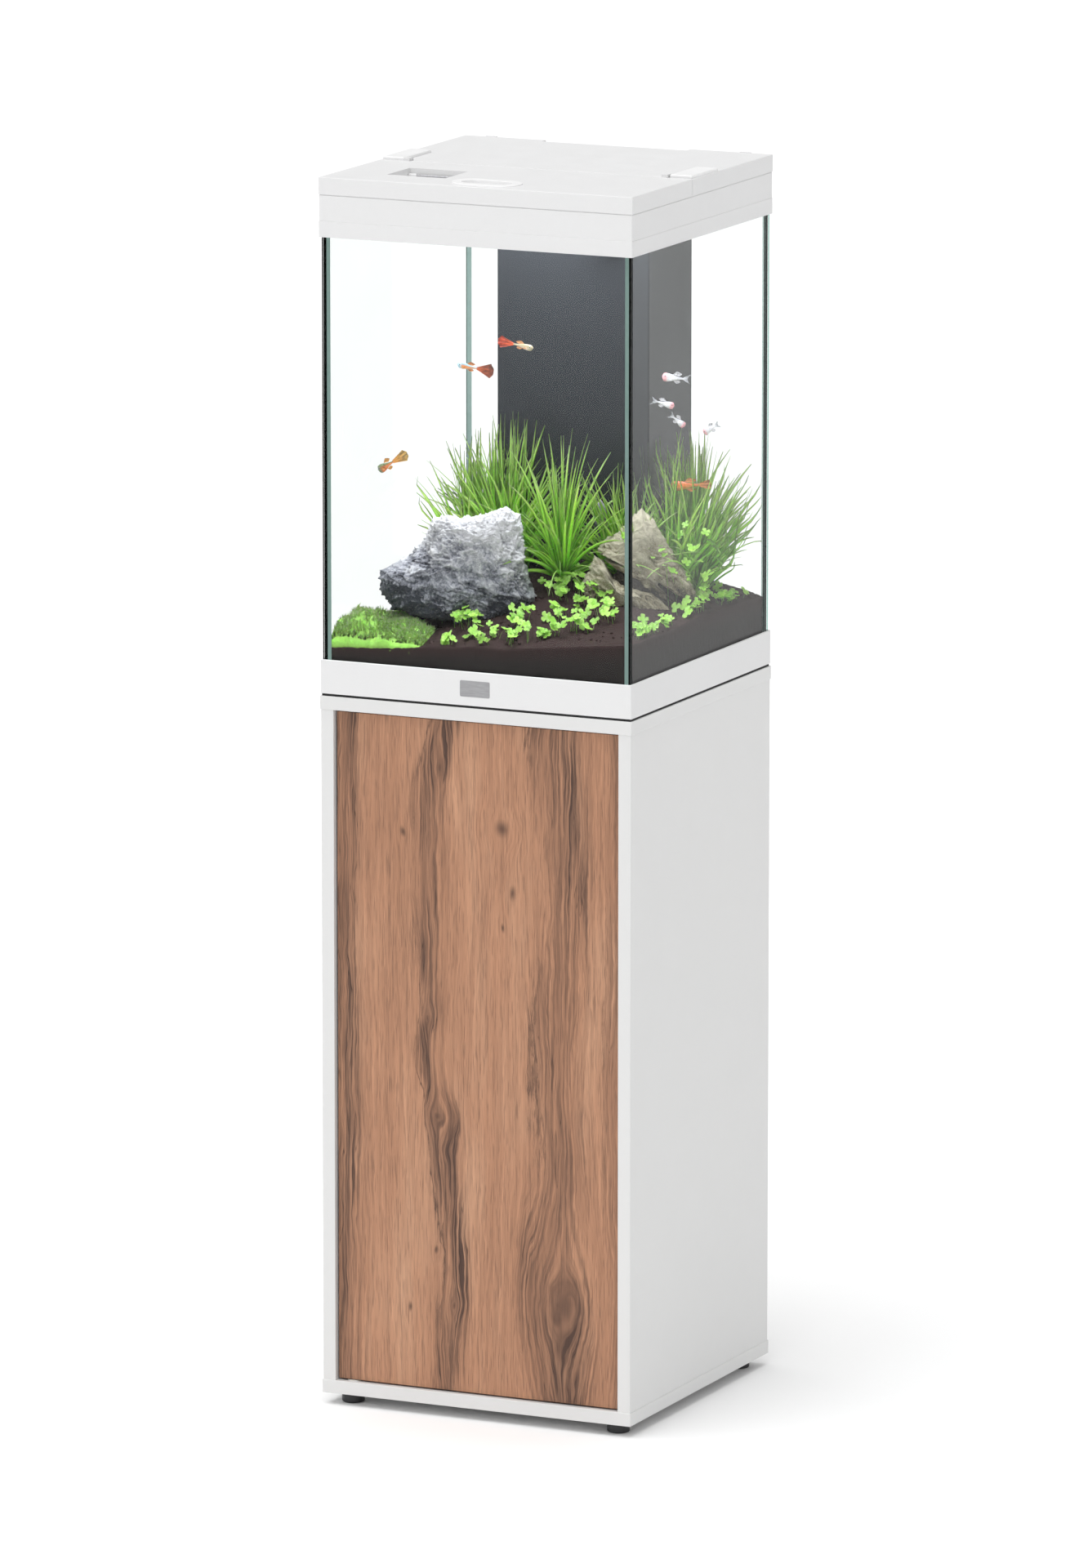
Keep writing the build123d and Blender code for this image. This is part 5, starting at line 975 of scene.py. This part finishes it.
def make_grass():
    """Tufts of narrow blades that fan out from their plants: the more a blade leans, the more it bends."""
    random = np.random.default_rng(5)
    rings = 11
    for name, centre, spread, count, plants, length, upright, bend, width, free in tufts:
        radius = np.sqrt(random.uniform(0, 1, plants))
        angle = random.uniform(0, TAU, plants)
        of_plant = random.integers(0, plants, count)
        x = (centre[0] + spread[0] * (radius * np.cos(angle))[of_plant] + random.normal(0, 3.0, count)) * MM
        y = (centre[1] + spread[1] * (radius * np.sin(angle))[of_plant] + random.normal(0, 3.0, count)) * MM
        heading = random.uniform(0, TAU, count)
        lean = random.uniform(0, 1, count) ** 1.2
        rise = np.radians(upright[1] + (upright[0] - upright[1]) * lean)
        droop = np.radians(bend[0] + (bend[1] - bend[0]) * lean * random.uniform(0.5, 1.0, count))
        size = random.uniform(*length, count) * (1 - 0.25 * lean) * MM
        roots = np.stack([x, y, soil_top(x, y) - 3 * MM], axis=-1)
        rings_at, t = curved_strips(roots, heading, rise, droop, size, random.uniform(*width, count) * MM,
                                    rings, 2.4, random.normal(0, 0.9, count))
        flat = rings_at.reshape(count, rings, 4, 3)
        flat[..., 0] = np.clip(flat[..., 0], -glass_reach, glass_reach)
        if free == "right":
            flat[..., 0] = np.maximum(flat[..., 0], column_high[0] + 1.5 * MM)
            flat[..., 1] = np.minimum(flat[..., 1], glass_reach)
        else:
            flat[..., 1] = np.minimum(flat[..., 1], column_low[1] - 1.5 * MM)
        ground = soil_top(flat[..., 0], flat[..., 1]) + 1.5 * MM
        above_root = np.arange(rings)[None, :, None] > 1
        flat[..., 2] = np.where(above_root, np.maximum(flat[..., 2], ground), flat[..., 2])
        paint = strip_paint(count, t, random.uniform(0, 1, count))
        make_piece(name, flat.reshape(-1, 3), [strip_faces(count, rings)], "stand_and_tank", "grass_tufts",
                   grass_finish, paint)


def leaf_disc(lobes, spokes=24, layers=(0.0, 0.45, 0.8, 1.0)):
    """A lobed leaf, 1 across its radius: rings of spokes whose reach dips by three fifths between the lobes.

    Its blade is a shallow cup with wavy edges; the underside is the same grid, lower and sewn at the rim.
    """
    angle = np.arange(spokes) / spokes * TAU
    lobe = np.abs(np.cos(lobes * angle / 2))
    reach = 0.36 + 0.64 * lobe ** 0.6 * (1 - 0.16 * np.exp(-((1 - lobe) / 0.02) ** 2))
    upper = [np.zeros((1, 3))]
    for layer in layers[1:]:
        radius = layer * (0.5 * (1 - layer) + reach * (0.5 + 0.5 * layer))
        height = 0.16 * layer ** 2 + 0.05 * layer ** 2 * np.sin(2 * lobes * angle)
        upper.append(np.stack([radius * np.cos(angle), radius * np.sin(angle), height], axis=-1))
    count = 1 + spokes * (len(layers) - 1)
    top = np.concatenate(upper)
    under = top[:count - spokes] - [0, 0, 0.035]
    first = np.arange(spokes)
    after = (first + 1) % spokes
    fan = np.stack([np.zeros(spokes, int), 1 + first, 1 + after], axis=-1)
    bands = grid_faces(len(layers) - 1, spokes, closed=True)[:, ::-1] + 1
    bottom = np.where(bands < count - spokes, bands + count, bands)[:, ::-1]
    bottom_fan = np.where(fan < count - spokes, fan + count, fan)[:, ::-1]
    shade = np.concatenate([[0.0], np.repeat(layers[1:], spokes)])
    shade = np.concatenate([shade, shade[:count - spokes]])
    return np.concatenate([top, under]), [fan, bands, bottom_fan, bottom], shade


# Creeping plants: runners over the soil as (x, y) spots in millimetres, and how high their leaves stand.
runners = [
    ([(-114, -74), (-84, -100), (-62, -118), (-55, -104)], 14),
    ([(-46, -182), (-40, -178), (-22, -168), (-11, -166)], 9),
    ([(-50, -128), (-38, -140), (-30, -146), (-34, -132)], 22),
    ([(8, -182), (2, -158), (14, -168), (30, -180), (40, -184)], 12),
    ([(22, -140), (34, -150), (47, -160), (22, -118), (30, -126)], 16),
    ([(62, -160), (68, -156), (72, -162)], 10),
    ([(30, -48), (38, -52), (46, -58), (40, -40)], 14),
    ([(62, -96), (70, -104), (80, -122), (92, -138), (87, -156)], 15),
    ([(70, -62), (76, -84), (98, -110), (110, -126), (104, -134)], 12),
    ([(43, -18), (50, -24), (60, -28), (73, -38), (84, -48), (89, -60)], 20),
    ([(108, -66), (112, -76), (118, -84), (124, -92)], 18),
    ([(166, -128), (174, -132), (182, -138), (186, -128), (178, -118)], 12),
    ([(170, -96), (182, -86), (186, -70), (180, -58)], 12),
    ([(176, -10), (184, 6), (178, 22), (186, 30)], 14),
    ([(166, 74), (176, 84), (180, 92), (186, 104)], 15),
    ([(178, 118), (184, 124), (187, 134)], 12),
    ([(150, 20), (158, 30), (164, 36), (170, 42), (178, 52)], 52),
    ([(146, 12), (150, 22), (156, 26)], 84),
]


def make_creepers():
    """Lobed leaves on thin arched stalks that rise from runners, three to a spot."""
    random = np.random.default_rng(9)
    spots = np.concatenate([np.array(line, float) for line, _ in runners])
    stand = np.concatenate([np.full(len(line), height, float) for line, height in runners])
    each = 3
    spots, stand = np.repeat(spots, each, axis=0), np.repeat(stand, each)
    spots = spots + random.normal(0, 5.5, spots.shape)
    spots = np.clip(spots * MM, -glass_reach + 6 * MM, glass_reach - 6 * MM)
    count = len(spots)
    height = stand * random.uniform(0.5, 1.3, count) * MM
    size = random.uniform(3.9, 7.4, count) * MM
    heading = random.uniform(0, TAU, count)
    roots = np.concatenate([spots, soil_top(*spots.T)[:, None]], axis=1)
    roots[:, 2] -= 1.0 * MM
    ring, t = curved_strips(roots, heading, np.full(count, 1.45), random.uniform(0.2, 0.9, count),
                            height * 1.12, np.full(count, 1.0 * MM), 6, 0.4)
    stalk_paint = strip_paint(count, t * 0.5, random.uniform(0.3, 0.8, count))
    tops = ring[:, -1].mean(axis=1)
    tops[:, :2] = np.clip(tops[:, :2], -glass_reach + 5 * MM, glass_reach - 5 * MM)
    turn = random.uniform(0, TAU, count)
    tilt_x, tilt_y = random.normal(0.45, 0.3, count), random.normal(-0.25, 0.3, count)
    points_all = [ring.reshape(-1, 3)]
    faces_all = [strip_faces(count, 6)]
    paint_all = [stalk_paint]
    shift = count * 6 * 4
    lobes_of = random.choice([3, 4], count, p=[0.6, 0.4])
    for lobes in (3, 4):
        chosen = np.flatnonzero(lobes_of == lobes)
        disc, parts, shade = leaf_disc(lobes)
        cosine, sine = np.cos(turn[chosen]), np.sin(turn[chosen])
        spun = np.stack([np.outer(cosine, disc[:, 0]) - np.outer(sine, disc[:, 1]),
                         np.outer(sine, disc[:, 0]) + np.outer(cosine, disc[:, 1]),
                         np.broadcast_to(disc[:, 2], (len(chosen), len(disc)))], axis=-1)
        tipped = spun.copy()
        tipped[..., 2] += spun[..., 1] * tilt_x[chosen][:, None] + spun[..., 0] * tilt_y[chosen][:, None]
        placed = tops[chosen][:, None] + tipped * size[chosen][:, None, None]
        placed[..., 0] = np.clip(placed[..., 0], -glass_reach, glass_reach)
        placed[..., 1] = np.clip(placed[..., 1], -glass_reach, glass_reach)
        points_all.append(placed.reshape(-1, 3))
        faces_all += [repeated(part, len(chosen), len(disc)) + shift for part in parts]
        own = np.repeat(random.uniform(0, 1, len(chosen)), len(disc))
        along = 0.25 + 0.7 * np.tile(shade, len(chosen))
        paint_all.append(np.stack([along, own, np.full(len(own), 0.5)], axis=-1))
        shift += placed.shape[0] * placed.shape[1]
    make_piece("creeping_plants", np.concatenate(points_all), faces_all, "stand_and_tank", "low_plants",
               clover_finish, np.concatenate(paint_all))


moss_across, moss_along, moss_height = 112 * MM, 118 * MM, 33 * MM
sheet_across, sheet_along = 134 * MM, 142 * MM  # the sheet reaches past the moss's uneven edge


def moss_rise(x, y):
    """Height of the moss above the soil: highest in the corner, gone at an uneven rounded outer edge."""
    u = (x - soil_low[0]) / moss_across
    v = (y - soil_low[1]) / moss_along
    flat = np.stack([x, y, np.zeros_like(x)], axis=-1)
    far = u ** 2 + v ** 2 + 0.38 * lattice_noise(flat / 0.026, 31)
    swell = 1 + 0.28 * layered_noise(flat, 16 * MM, 2, 33)
    front = np.clip(v / 0.22, 0, 1)
    return moss_height * np.clip(1.0 - far, 0, 1) ** 0.5 * swell * (0.3 + 0.7 * front * (2 - front))


def make_moss():
    """A cushion of moss: a lumpy base sheet, closed below, covered with short curved sprigs."""
    random = np.random.default_rng(17)
    cells = 90
    x, y = np.meshgrid(np.linspace(soil_low[0] + 0.5 * MM, soil_low[0] + sheet_across, cells),
                       np.linspace(soil_low[1] + 0.5 * MM, soil_low[1] + sheet_along, cells), indexing="ij")
    rise = moss_rise(x, y)
    flat = np.stack([x, y, np.zeros_like(x)], axis=-1)
    ground = soil_top(x, y) - 2.5 * MM
    upper = ground + rise + crumbs(x, y, 2.6 * MM, 5) * 1.4 * MM * (rise > 0.5 * MM)
    top = np.stack([x, y, upper], axis=-1).reshape(-1, 3)
    ring = grid_border(cells, cells)
    skirt = top[ring].copy()
    skirt[:, 2] = (ground.ravel()[ring]) - 4 * MM
    low_ring = len(top) + np.arange(len(ring))
    sides = np.stack([ring, low_ring, np.roll(low_ring, -1), np.roll(ring, -1)], axis=-1)
    shade = layered_noise(flat, 9 * MM, 2, 3).ravel() * 0.3 + 0.4
    base_paint = np.stack([np.full(len(top), 0.4), shade, shade], axis=-1)
    skirt_paint = np.full((len(ring), 3), 0.1)
    count = 6200
    place_x = random.uniform(x.min(), x.max(), 3 * count)
    place_y = random.uniform(y.min(), y.max(), 3 * count)
    kept = np.flatnonzero(moss_rise(place_x, place_y) > 2.5 * MM)[:count]
    place_x, place_y = place_x[kept], place_y[kept]
    count, rings = len(kept), 4
    root_z = soil_top(place_x, place_y) - 3 * MM + moss_rise(place_x, place_y)
    roots = np.stack([place_x, place_y, root_z], axis=-1)
    heading = random.uniform(0, TAU, count)
    lean = np.radians(random.uniform(25, 88, count))
    droop = np.radians(random.uniform(-20, 60, count))
    length = random.uniform(5.0, 9.5, count) * MM
    width = random.uniform(1.5, 2.7, count) * MM
    strips, t = curved_strips(roots, heading, lean, droop, length, width, rings, 1.6,
                              random.normal(0, 0.8, count))
    strips[..., :2] = np.clip(strips[..., :2], -glass_reach, glass_reach)
    brown = np.clip((soil_low[1] + 12 * MM - place_y) / (12 * MM), 0, 1) * random.uniform(0.3, 1, count)
    # Sprigs in the middle of the 9 mm cells get a bright g and those between them a dark one: painted shade between
    # clumps, with a random spread.
    clump_shading = crumbs(place_x, place_y, 9 * MM, 6)
    paint = strip_paint(count, t, np.clip(0.1 + 0.8 * clump_shading + random.uniform(-0.3, 0.3, count), 0, 1))
    paint[:, 0] *= np.repeat(1 - 0.85 * brown, rings * 4)
    points = np.concatenate([top, skirt, strips.reshape(-1, 3)])
    make_piece("moss_cushion", points,
               [grid_faces(cells, cells)[:, ::-1], sides, low_ring[None, ::-1],
                strip_faces(count, rings) + len(top) + len(skirt)],
               "stand_and_tank", "low_plants", moss_finish,
               np.concatenate([base_paint, skirt_paint, paint]))


make_soil_bed()
scatter_pebbles()
make_grass()
make_creepers()
make_moss()


# ---------------------------------------------------------------- fish

def fin_shell(root, tip, bulge, ripple, thickness=0.25 * MM, across=11, out=8):
    """A closed fin in the fish's own x-z plane, from a root line to a tip line.

    Points run straight from root to tip; the free edge bulges by a half sine, the fin ripples sideways by a
    sine that grows outwards, and its two skins draw together towards the edge. Gives points, faces, and the
    shares across and outwards.
    """
    s, r = np.meshgrid(np.linspace(0, 1, across), np.linspace(0, 1, out), indexing="ij")
    root, tip = np.array(root, float), np.array(tip, float)
    start = root[0] + (root[1] - root[0]) * s[..., None]
    end = tip[0] + (tip[1] - tip[0]) * s[..., None]
    away = (tip.mean(axis=0) - root.mean(axis=0))
    away = away / np.linalg.norm(away)
    swell = bulge * np.sin(np.pi * s)[..., None] * (r ** 2)[..., None] * away
    flat = start + (end - start) * r[..., None] + swell
    sway = ripple * np.sin(2.5 * TAU * s) * r ** 1.5
    half = thickness / 2 * (1.15 - r)
    skins = [np.stack([flat[..., 0], sway + side * half, flat[..., 1]], axis=-1) for side in (1, -1)]
    points = np.concatenate([skin.reshape(-1, 3) for skin in skins])
    ring = grid_border(across, out)
    after = np.roll(ring, -1)
    shift = across * out
    rim = np.stack([ring, after, after + shift, ring + shift], axis=-1)
    faces = np.concatenate([grid_faces(across, out)[:, ::-1], grid_faces(across, out) + shift, rim])
    return points, faces, np.tile(s.ravel(), 2), np.tile(r.ravel(), 2)


def fish_body(length, height, hump):
    """A closed body along x: rings whose half height swells by a sine of the share to a power, flat-sided."""
    rings, around = 30, 18
    t = np.linspace(0, 1, rings)
    swell = np.sin(np.pi * (0.03 + 0.97 * t) ** hump) ** 0.75 * (1 - t) + (0.17 + 0.12 * (1 - t)) * t ** 1.5
    swell = np.maximum(swell * np.minimum(1, 0.35 + 9 * t), 0.05)
    angle = np.arange(around) / around * TAU
    x = (0.5 - t[:, None]) * length + 0 * angle
    z = height * swell[:, None] * np.sin(angle) * np.where(np.sin(angle) > 0, 0.92, 1.08)
    y = height * 0.52 * swell[:, None] * np.cos(angle)
    points = np.stack([x, y, z], axis=-1).reshape(-1, 3)
    last = (rings - 1) * around
    tube = grid_faces(rings, around, closed=True)
    ends = [np.arange(around)[None], (last + np.arange(around))[None, ::-1]]
    belly = np.broadcast_to(np.sin(angle), (rings, around)).ravel()
    return points, tube, ends, np.repeat(t, around), belly


def blend(first, second, share):
    return np.array(first) + (np.array(second) - np.array(first)) * np.clip(share, 0, 1)[:, None]


# Coats: back, side, belly, head, tail root, tail edge and other fins; then the tail's length as a share of
# the body's, and its spread as a share of the body's height.
coats = {
    "guppy": ((0.36, 0.30, 0.16), (0.62, 0.50, 0.34), (0.80, 0.66, 0.50), (0.45, 0.38, 0.24),
              (0.85, 0.13, 0.04), (0.55, 0.05, 0.02), (0.75, 0.35, 0.15), 0.62, 1.9),
    "blue_guppy": ((0.20, 0.38, 0.50), (0.72, 0.26, 0.08), (0.85, 0.40, 0.16), (0.42, 0.66, 0.78),
                   (0.62, 0.13, 0.04), (0.26, 0.06, 0.03), (0.70, 0.25, 0.08), 0.66, 2.1),
    "sunset_guppy": ((0.16, 0.22, 0.10), (0.60, 0.20, 0.06), (0.85, 0.24, 0.06), (0.20, 0.26, 0.14),
                     (0.90, 0.34, 0.05), (0.85, 0.55, 0.16), (0.85, 0.38, 0.08), 0.75, 1.3),
    "pearl_tetra": ((0.62, 0.62, 0.68), (0.84, 0.82, 0.86), (0.90, 0.88, 0.90), (0.90, 0.42, 0.46),
                    (0.80, 0.80, 0.84), (0.70, 0.70, 0.76), (0.82, 0.80, 0.84), 0.30, 1.1),
    "platy": ((0.70, 0.16, 0.03), (0.90, 0.25, 0.04), (0.92, 0.42, 0.12), (0.85, 0.20, 0.04),
              (0.88, 0.26, 0.05), (0.75, 0.30, 0.10), (0.85, 0.30, 0.08), 0.30, 0.95),
}
# Fish: name, coat, place in millimetres, whole length, body height, heading and climb in degrees.
school = [
    ("red_tailed_guppy", "guppy", (10, -100, 1266), 38, 7.6, 0, -8),
    ("blue_headed_guppy", "blue_guppy", (-68, -60, 1229), 39, 8.4, 180, 8),
    ("sunset_guppy", "sunset_guppy", (-146, -120, 1119), 36, 11.0, 180, -30),
    ("pearl_tetra_1", "pearl_tetra", (136, 60, 1213), 32, 10.5, 200, 6),
    ("pearl_tetra_2", "pearl_tetra", (128, 42, 1185), 27, 8.6, 22, -14),
    ("pearl_tetra_3", "pearl_tetra", (134, 70, 1161), 22, 8.2, 25, -38),
    ("pearl_tetra_4", "pearl_tetra", (166, 95, 1150), 21, 8.6, 196, -30),
    ("orange_platy", "platy", (146, 76, 1084), 44, 12.5, 190, -4),
]


def make_fish(name, coat, place, whole, height, heading, climb, seed):
    """A fish: body, tail, back and belly fins, a pair of side fins and domed eyes, turned to its heading."""
    back, side, belly, head, tail_root, tail_edge, fins, tail_share, spread = coats[coat]
    length = whole * MM / (1 + tail_share * 0.8)
    height = height * MM
    body, tube, ends, t, up = fish_body(length, height / 1.6, 0.62 if coat == "pearl_tetra" else 0.7)
    rear, half_root = -0.5 * length, 0.16 * height
    tail = length * tail_share
    forked = coat == "pearl_tetra"
    tail_fin = ([(rear + 0.6 * MM, half_root), (rear + 0.6 * MM, -half_root)],
                [(rear - tail, height * spread / 2), (rear - tail, -height * spread / 2)],
                -0.45 * tail if forked else 0.28 * tail, 0.9 * MM)
    back_fin = ([(0.02 * length, 0.36 * height), (-0.28 * length, 0.24 * height)],
                [(-0.15 * length, 0.74 * height), (-0.40 * length, 0.48 * height)], 0.5 * MM, 0.3 * MM)
    belly_fin = ([(-0.04 * length, -0.36 * height), (-0.28 * length, -0.22 * height)],
                 [(-0.16 * length, -0.62 * height), (-0.36 * length, -0.42 * height)], 0.5 * MM, 0.2 * MM)
    edge = np.clip((t - 0.16) / 0.12, 0, 1)[:, None]
    plain = np.where((up > 0.05)[:, None], blend(side, back, (up - 0.05) * 2.2),
                     blend(side, belly, -up * 1.4))
    trunk = np.array(head) * (1 - edge) + plain * edge
    points_all, faces_all, paint_all, shift = [body], [tube, *ends], [trunk], len(body)
    for (root, tip, bulge, ripple), near, far in ((tail_fin, tail_root, tail_edge), (back_fin, fins, fins),
                                                  (belly_fin, fins, fins)):
        points, faces, s, r = fin_shell(root, tip, bulge, ripple)
        rays = 0.82 + 0.18 * np.cos(s * TAU * 7)
        spots = 1 - 0.45 * (crumbs(points[:, 0], points[:, 2], 2.2 * MM, seed) > 0.86) * (r > 0.3)
        points_all.append(points)
        faces_all.append(faces + shift)
        paint_all.append(blend(near, far, r) * (rays * spots)[:, None])
        shift += len(points)
    for hand in (1, -1):
        fin_root = [(0.20 * length, -0.08 * height), (0.19 * length, -0.18 * height)]
        fin_tip = [(0.06 * length, -0.12 * height), (0.05 * length, -0.34 * height)]
        points, faces = fin_shell(fin_root, fin_tip, 0.3 * MM, 0.1 * MM, across=7, out=6)[:2]
        points[:, 1] += hand * (0.27 * height + (0.20 * length - points[:, 0]) * 0.25)
        points_all.append(points)
        faces_all.append(faces + shift)
        paint_all.append(np.repeat([fins], len(points), axis=0))
        shift += len(points)
        dome, dome_faces = ball(6)
        radius = 0.095 * height + 0.25 * MM
        eye_at = [0.5 * length - 0.14 * length, hand * height * 0.2, 0.06 * height]
        eye = dome * radius * [1, 0.45, 1] + eye_at
        pupil = np.hypot(dome[:, 0], dome[:, 2]) < 0.62
        points_all.append(eye)
        faces_all.append(dome_faces + shift)
        paint_all.append(np.where(pupil[:, None], 0.006, 0.55) * np.ones(3))
        shift += len(eye)
    points = np.concatenate(points_all)
    points[:, 1] += 0.04 * length * np.sin(np.pi * (0.5 - points[:, 0] / length)) * (points[:, 0] < 0)
    turn, rise = np.radians(heading), np.radians(climb)
    nose = np.array([np.cos(turn) * np.cos(rise), np.sin(turn) * np.cos(rise), np.sin(rise)])
    lateral = np.array([-np.sin(turn), np.cos(turn), 0.0])
    top = np.cross(nose, lateral)
    points[:, 0] += 0.5 * tail * 0.8
    placed = points[:, :1] * nose + points[:, 1:2] * lateral + points[:, 2:] * top + np.array(place) * MM
    make_piece(name, placed, faces_all, "stand_and_tank", "fish", fish_finish,
               np.concatenate(paint_all))


for number, (name, coat, place, whole, height, heading, climb) in enumerate(school):
    make_fish(name, coat, place, whole, height, heading, climb, number)


# ---------------------------------------------------------------- floor, light and camera

def make_floor():
    """Pale matt floor, wide enough to fill the view to its top edge."""
    reach = 60.0
    mesh = bpy.data.meshes.new("floor")
    mesh.from_pydata([(-reach, -reach, 0), (reach, -reach, 0), (reach, reach, 0), (-reach, reach, 0)], [],
                     [(0, 1, 2, 3)])
    floor = bpy.data.objects.new("floor", mesh)
    bpy.context.scene.collection.objects.link(floor)
    finish, g, shader = new_finish("pale floor", Roughness=0.9, Specular_IOR_Level=0.1)
    link(g, shader, Base_Color=drifted(g, g.place(), (0.97, 0.97, 0.97), 0.01, 2.0))
    mesh.materials.append(finish)


def make_light():
    """Pale surroundings, a little brighter from the upper left front, and a broad soft light from above."""
    world = bpy.data.worlds.new("studio")
    bpy.context.scene.world = world
    world.use_nodes = True
    g = Graph(world.node_tree)
    toward = g.add("VectorMath", {0: g.add("TexCoord", out="Generated"), 1: (-0.35, -0.70, 1.3)}, out="Value",
                   operation="DOT_PRODUCT")
    surround = world.node_tree.nodes["Background"]
    surround.inputs["Color"].default_value = (1, 1, 1, 1)
    world.node_tree.links.new(g.calc("MULTIPLY_ADD", toward, 0.25, 0.505), surround.inputs["Strength"])
    lamp = bpy.data.lights.new("soft key", "SUN")
    lamp.energy = 1.45
    lamp.angle = np.radians(50.0)
    key = bpy.data.objects.new("soft key", lamp)
    key.rotation_euler = Euler(np.radians((14.0, 0.0, -18.0)))
    bpy.context.scene.collection.objects.link(key)
    glow = bpy.data.lights.new("tank light", "AREA")
    glow.shape = "RECTANGLE"
    glow.size, glow.size_y = 0.32, 0.26
    glow.energy = 2.6
    glow.color = (0.94, 0.97, 1.0)
    tank_light = bpy.data.objects.new("tank light", glow)
    tank_light.location = (0, -0.06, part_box("hood_frame")[0][2] - 3 * MM)
    bpy.context.scene.collection.objects.link(tank_light)


def make_camera():
    """Long lens from the right front, a little above the lid."""
    azimuth, elevation = np.radians(24.95), np.radians(11.0)
    lens = bpy.data.cameras.new("camera")
    lens.sensor_fit = "VERTICAL"
    lens.sensor_height = 36.0
    lens.lens = 261.0
    lens.clip_end = 200.0
    camera = bpy.data.objects.new("camera", lens)
    camera.location = (5.5386, -11.9384, 3.2860)
    camera.rotation_euler = Euler((np.pi / 2 - elevation, 0.0, azimuth))
    bpy.context.scene.collection.objects.link(camera)
    bpy.context.scene.camera = camera


make_floor()
make_light()
make_camera()
bpy.context.scene.view_settings.view_transform = "Standard"
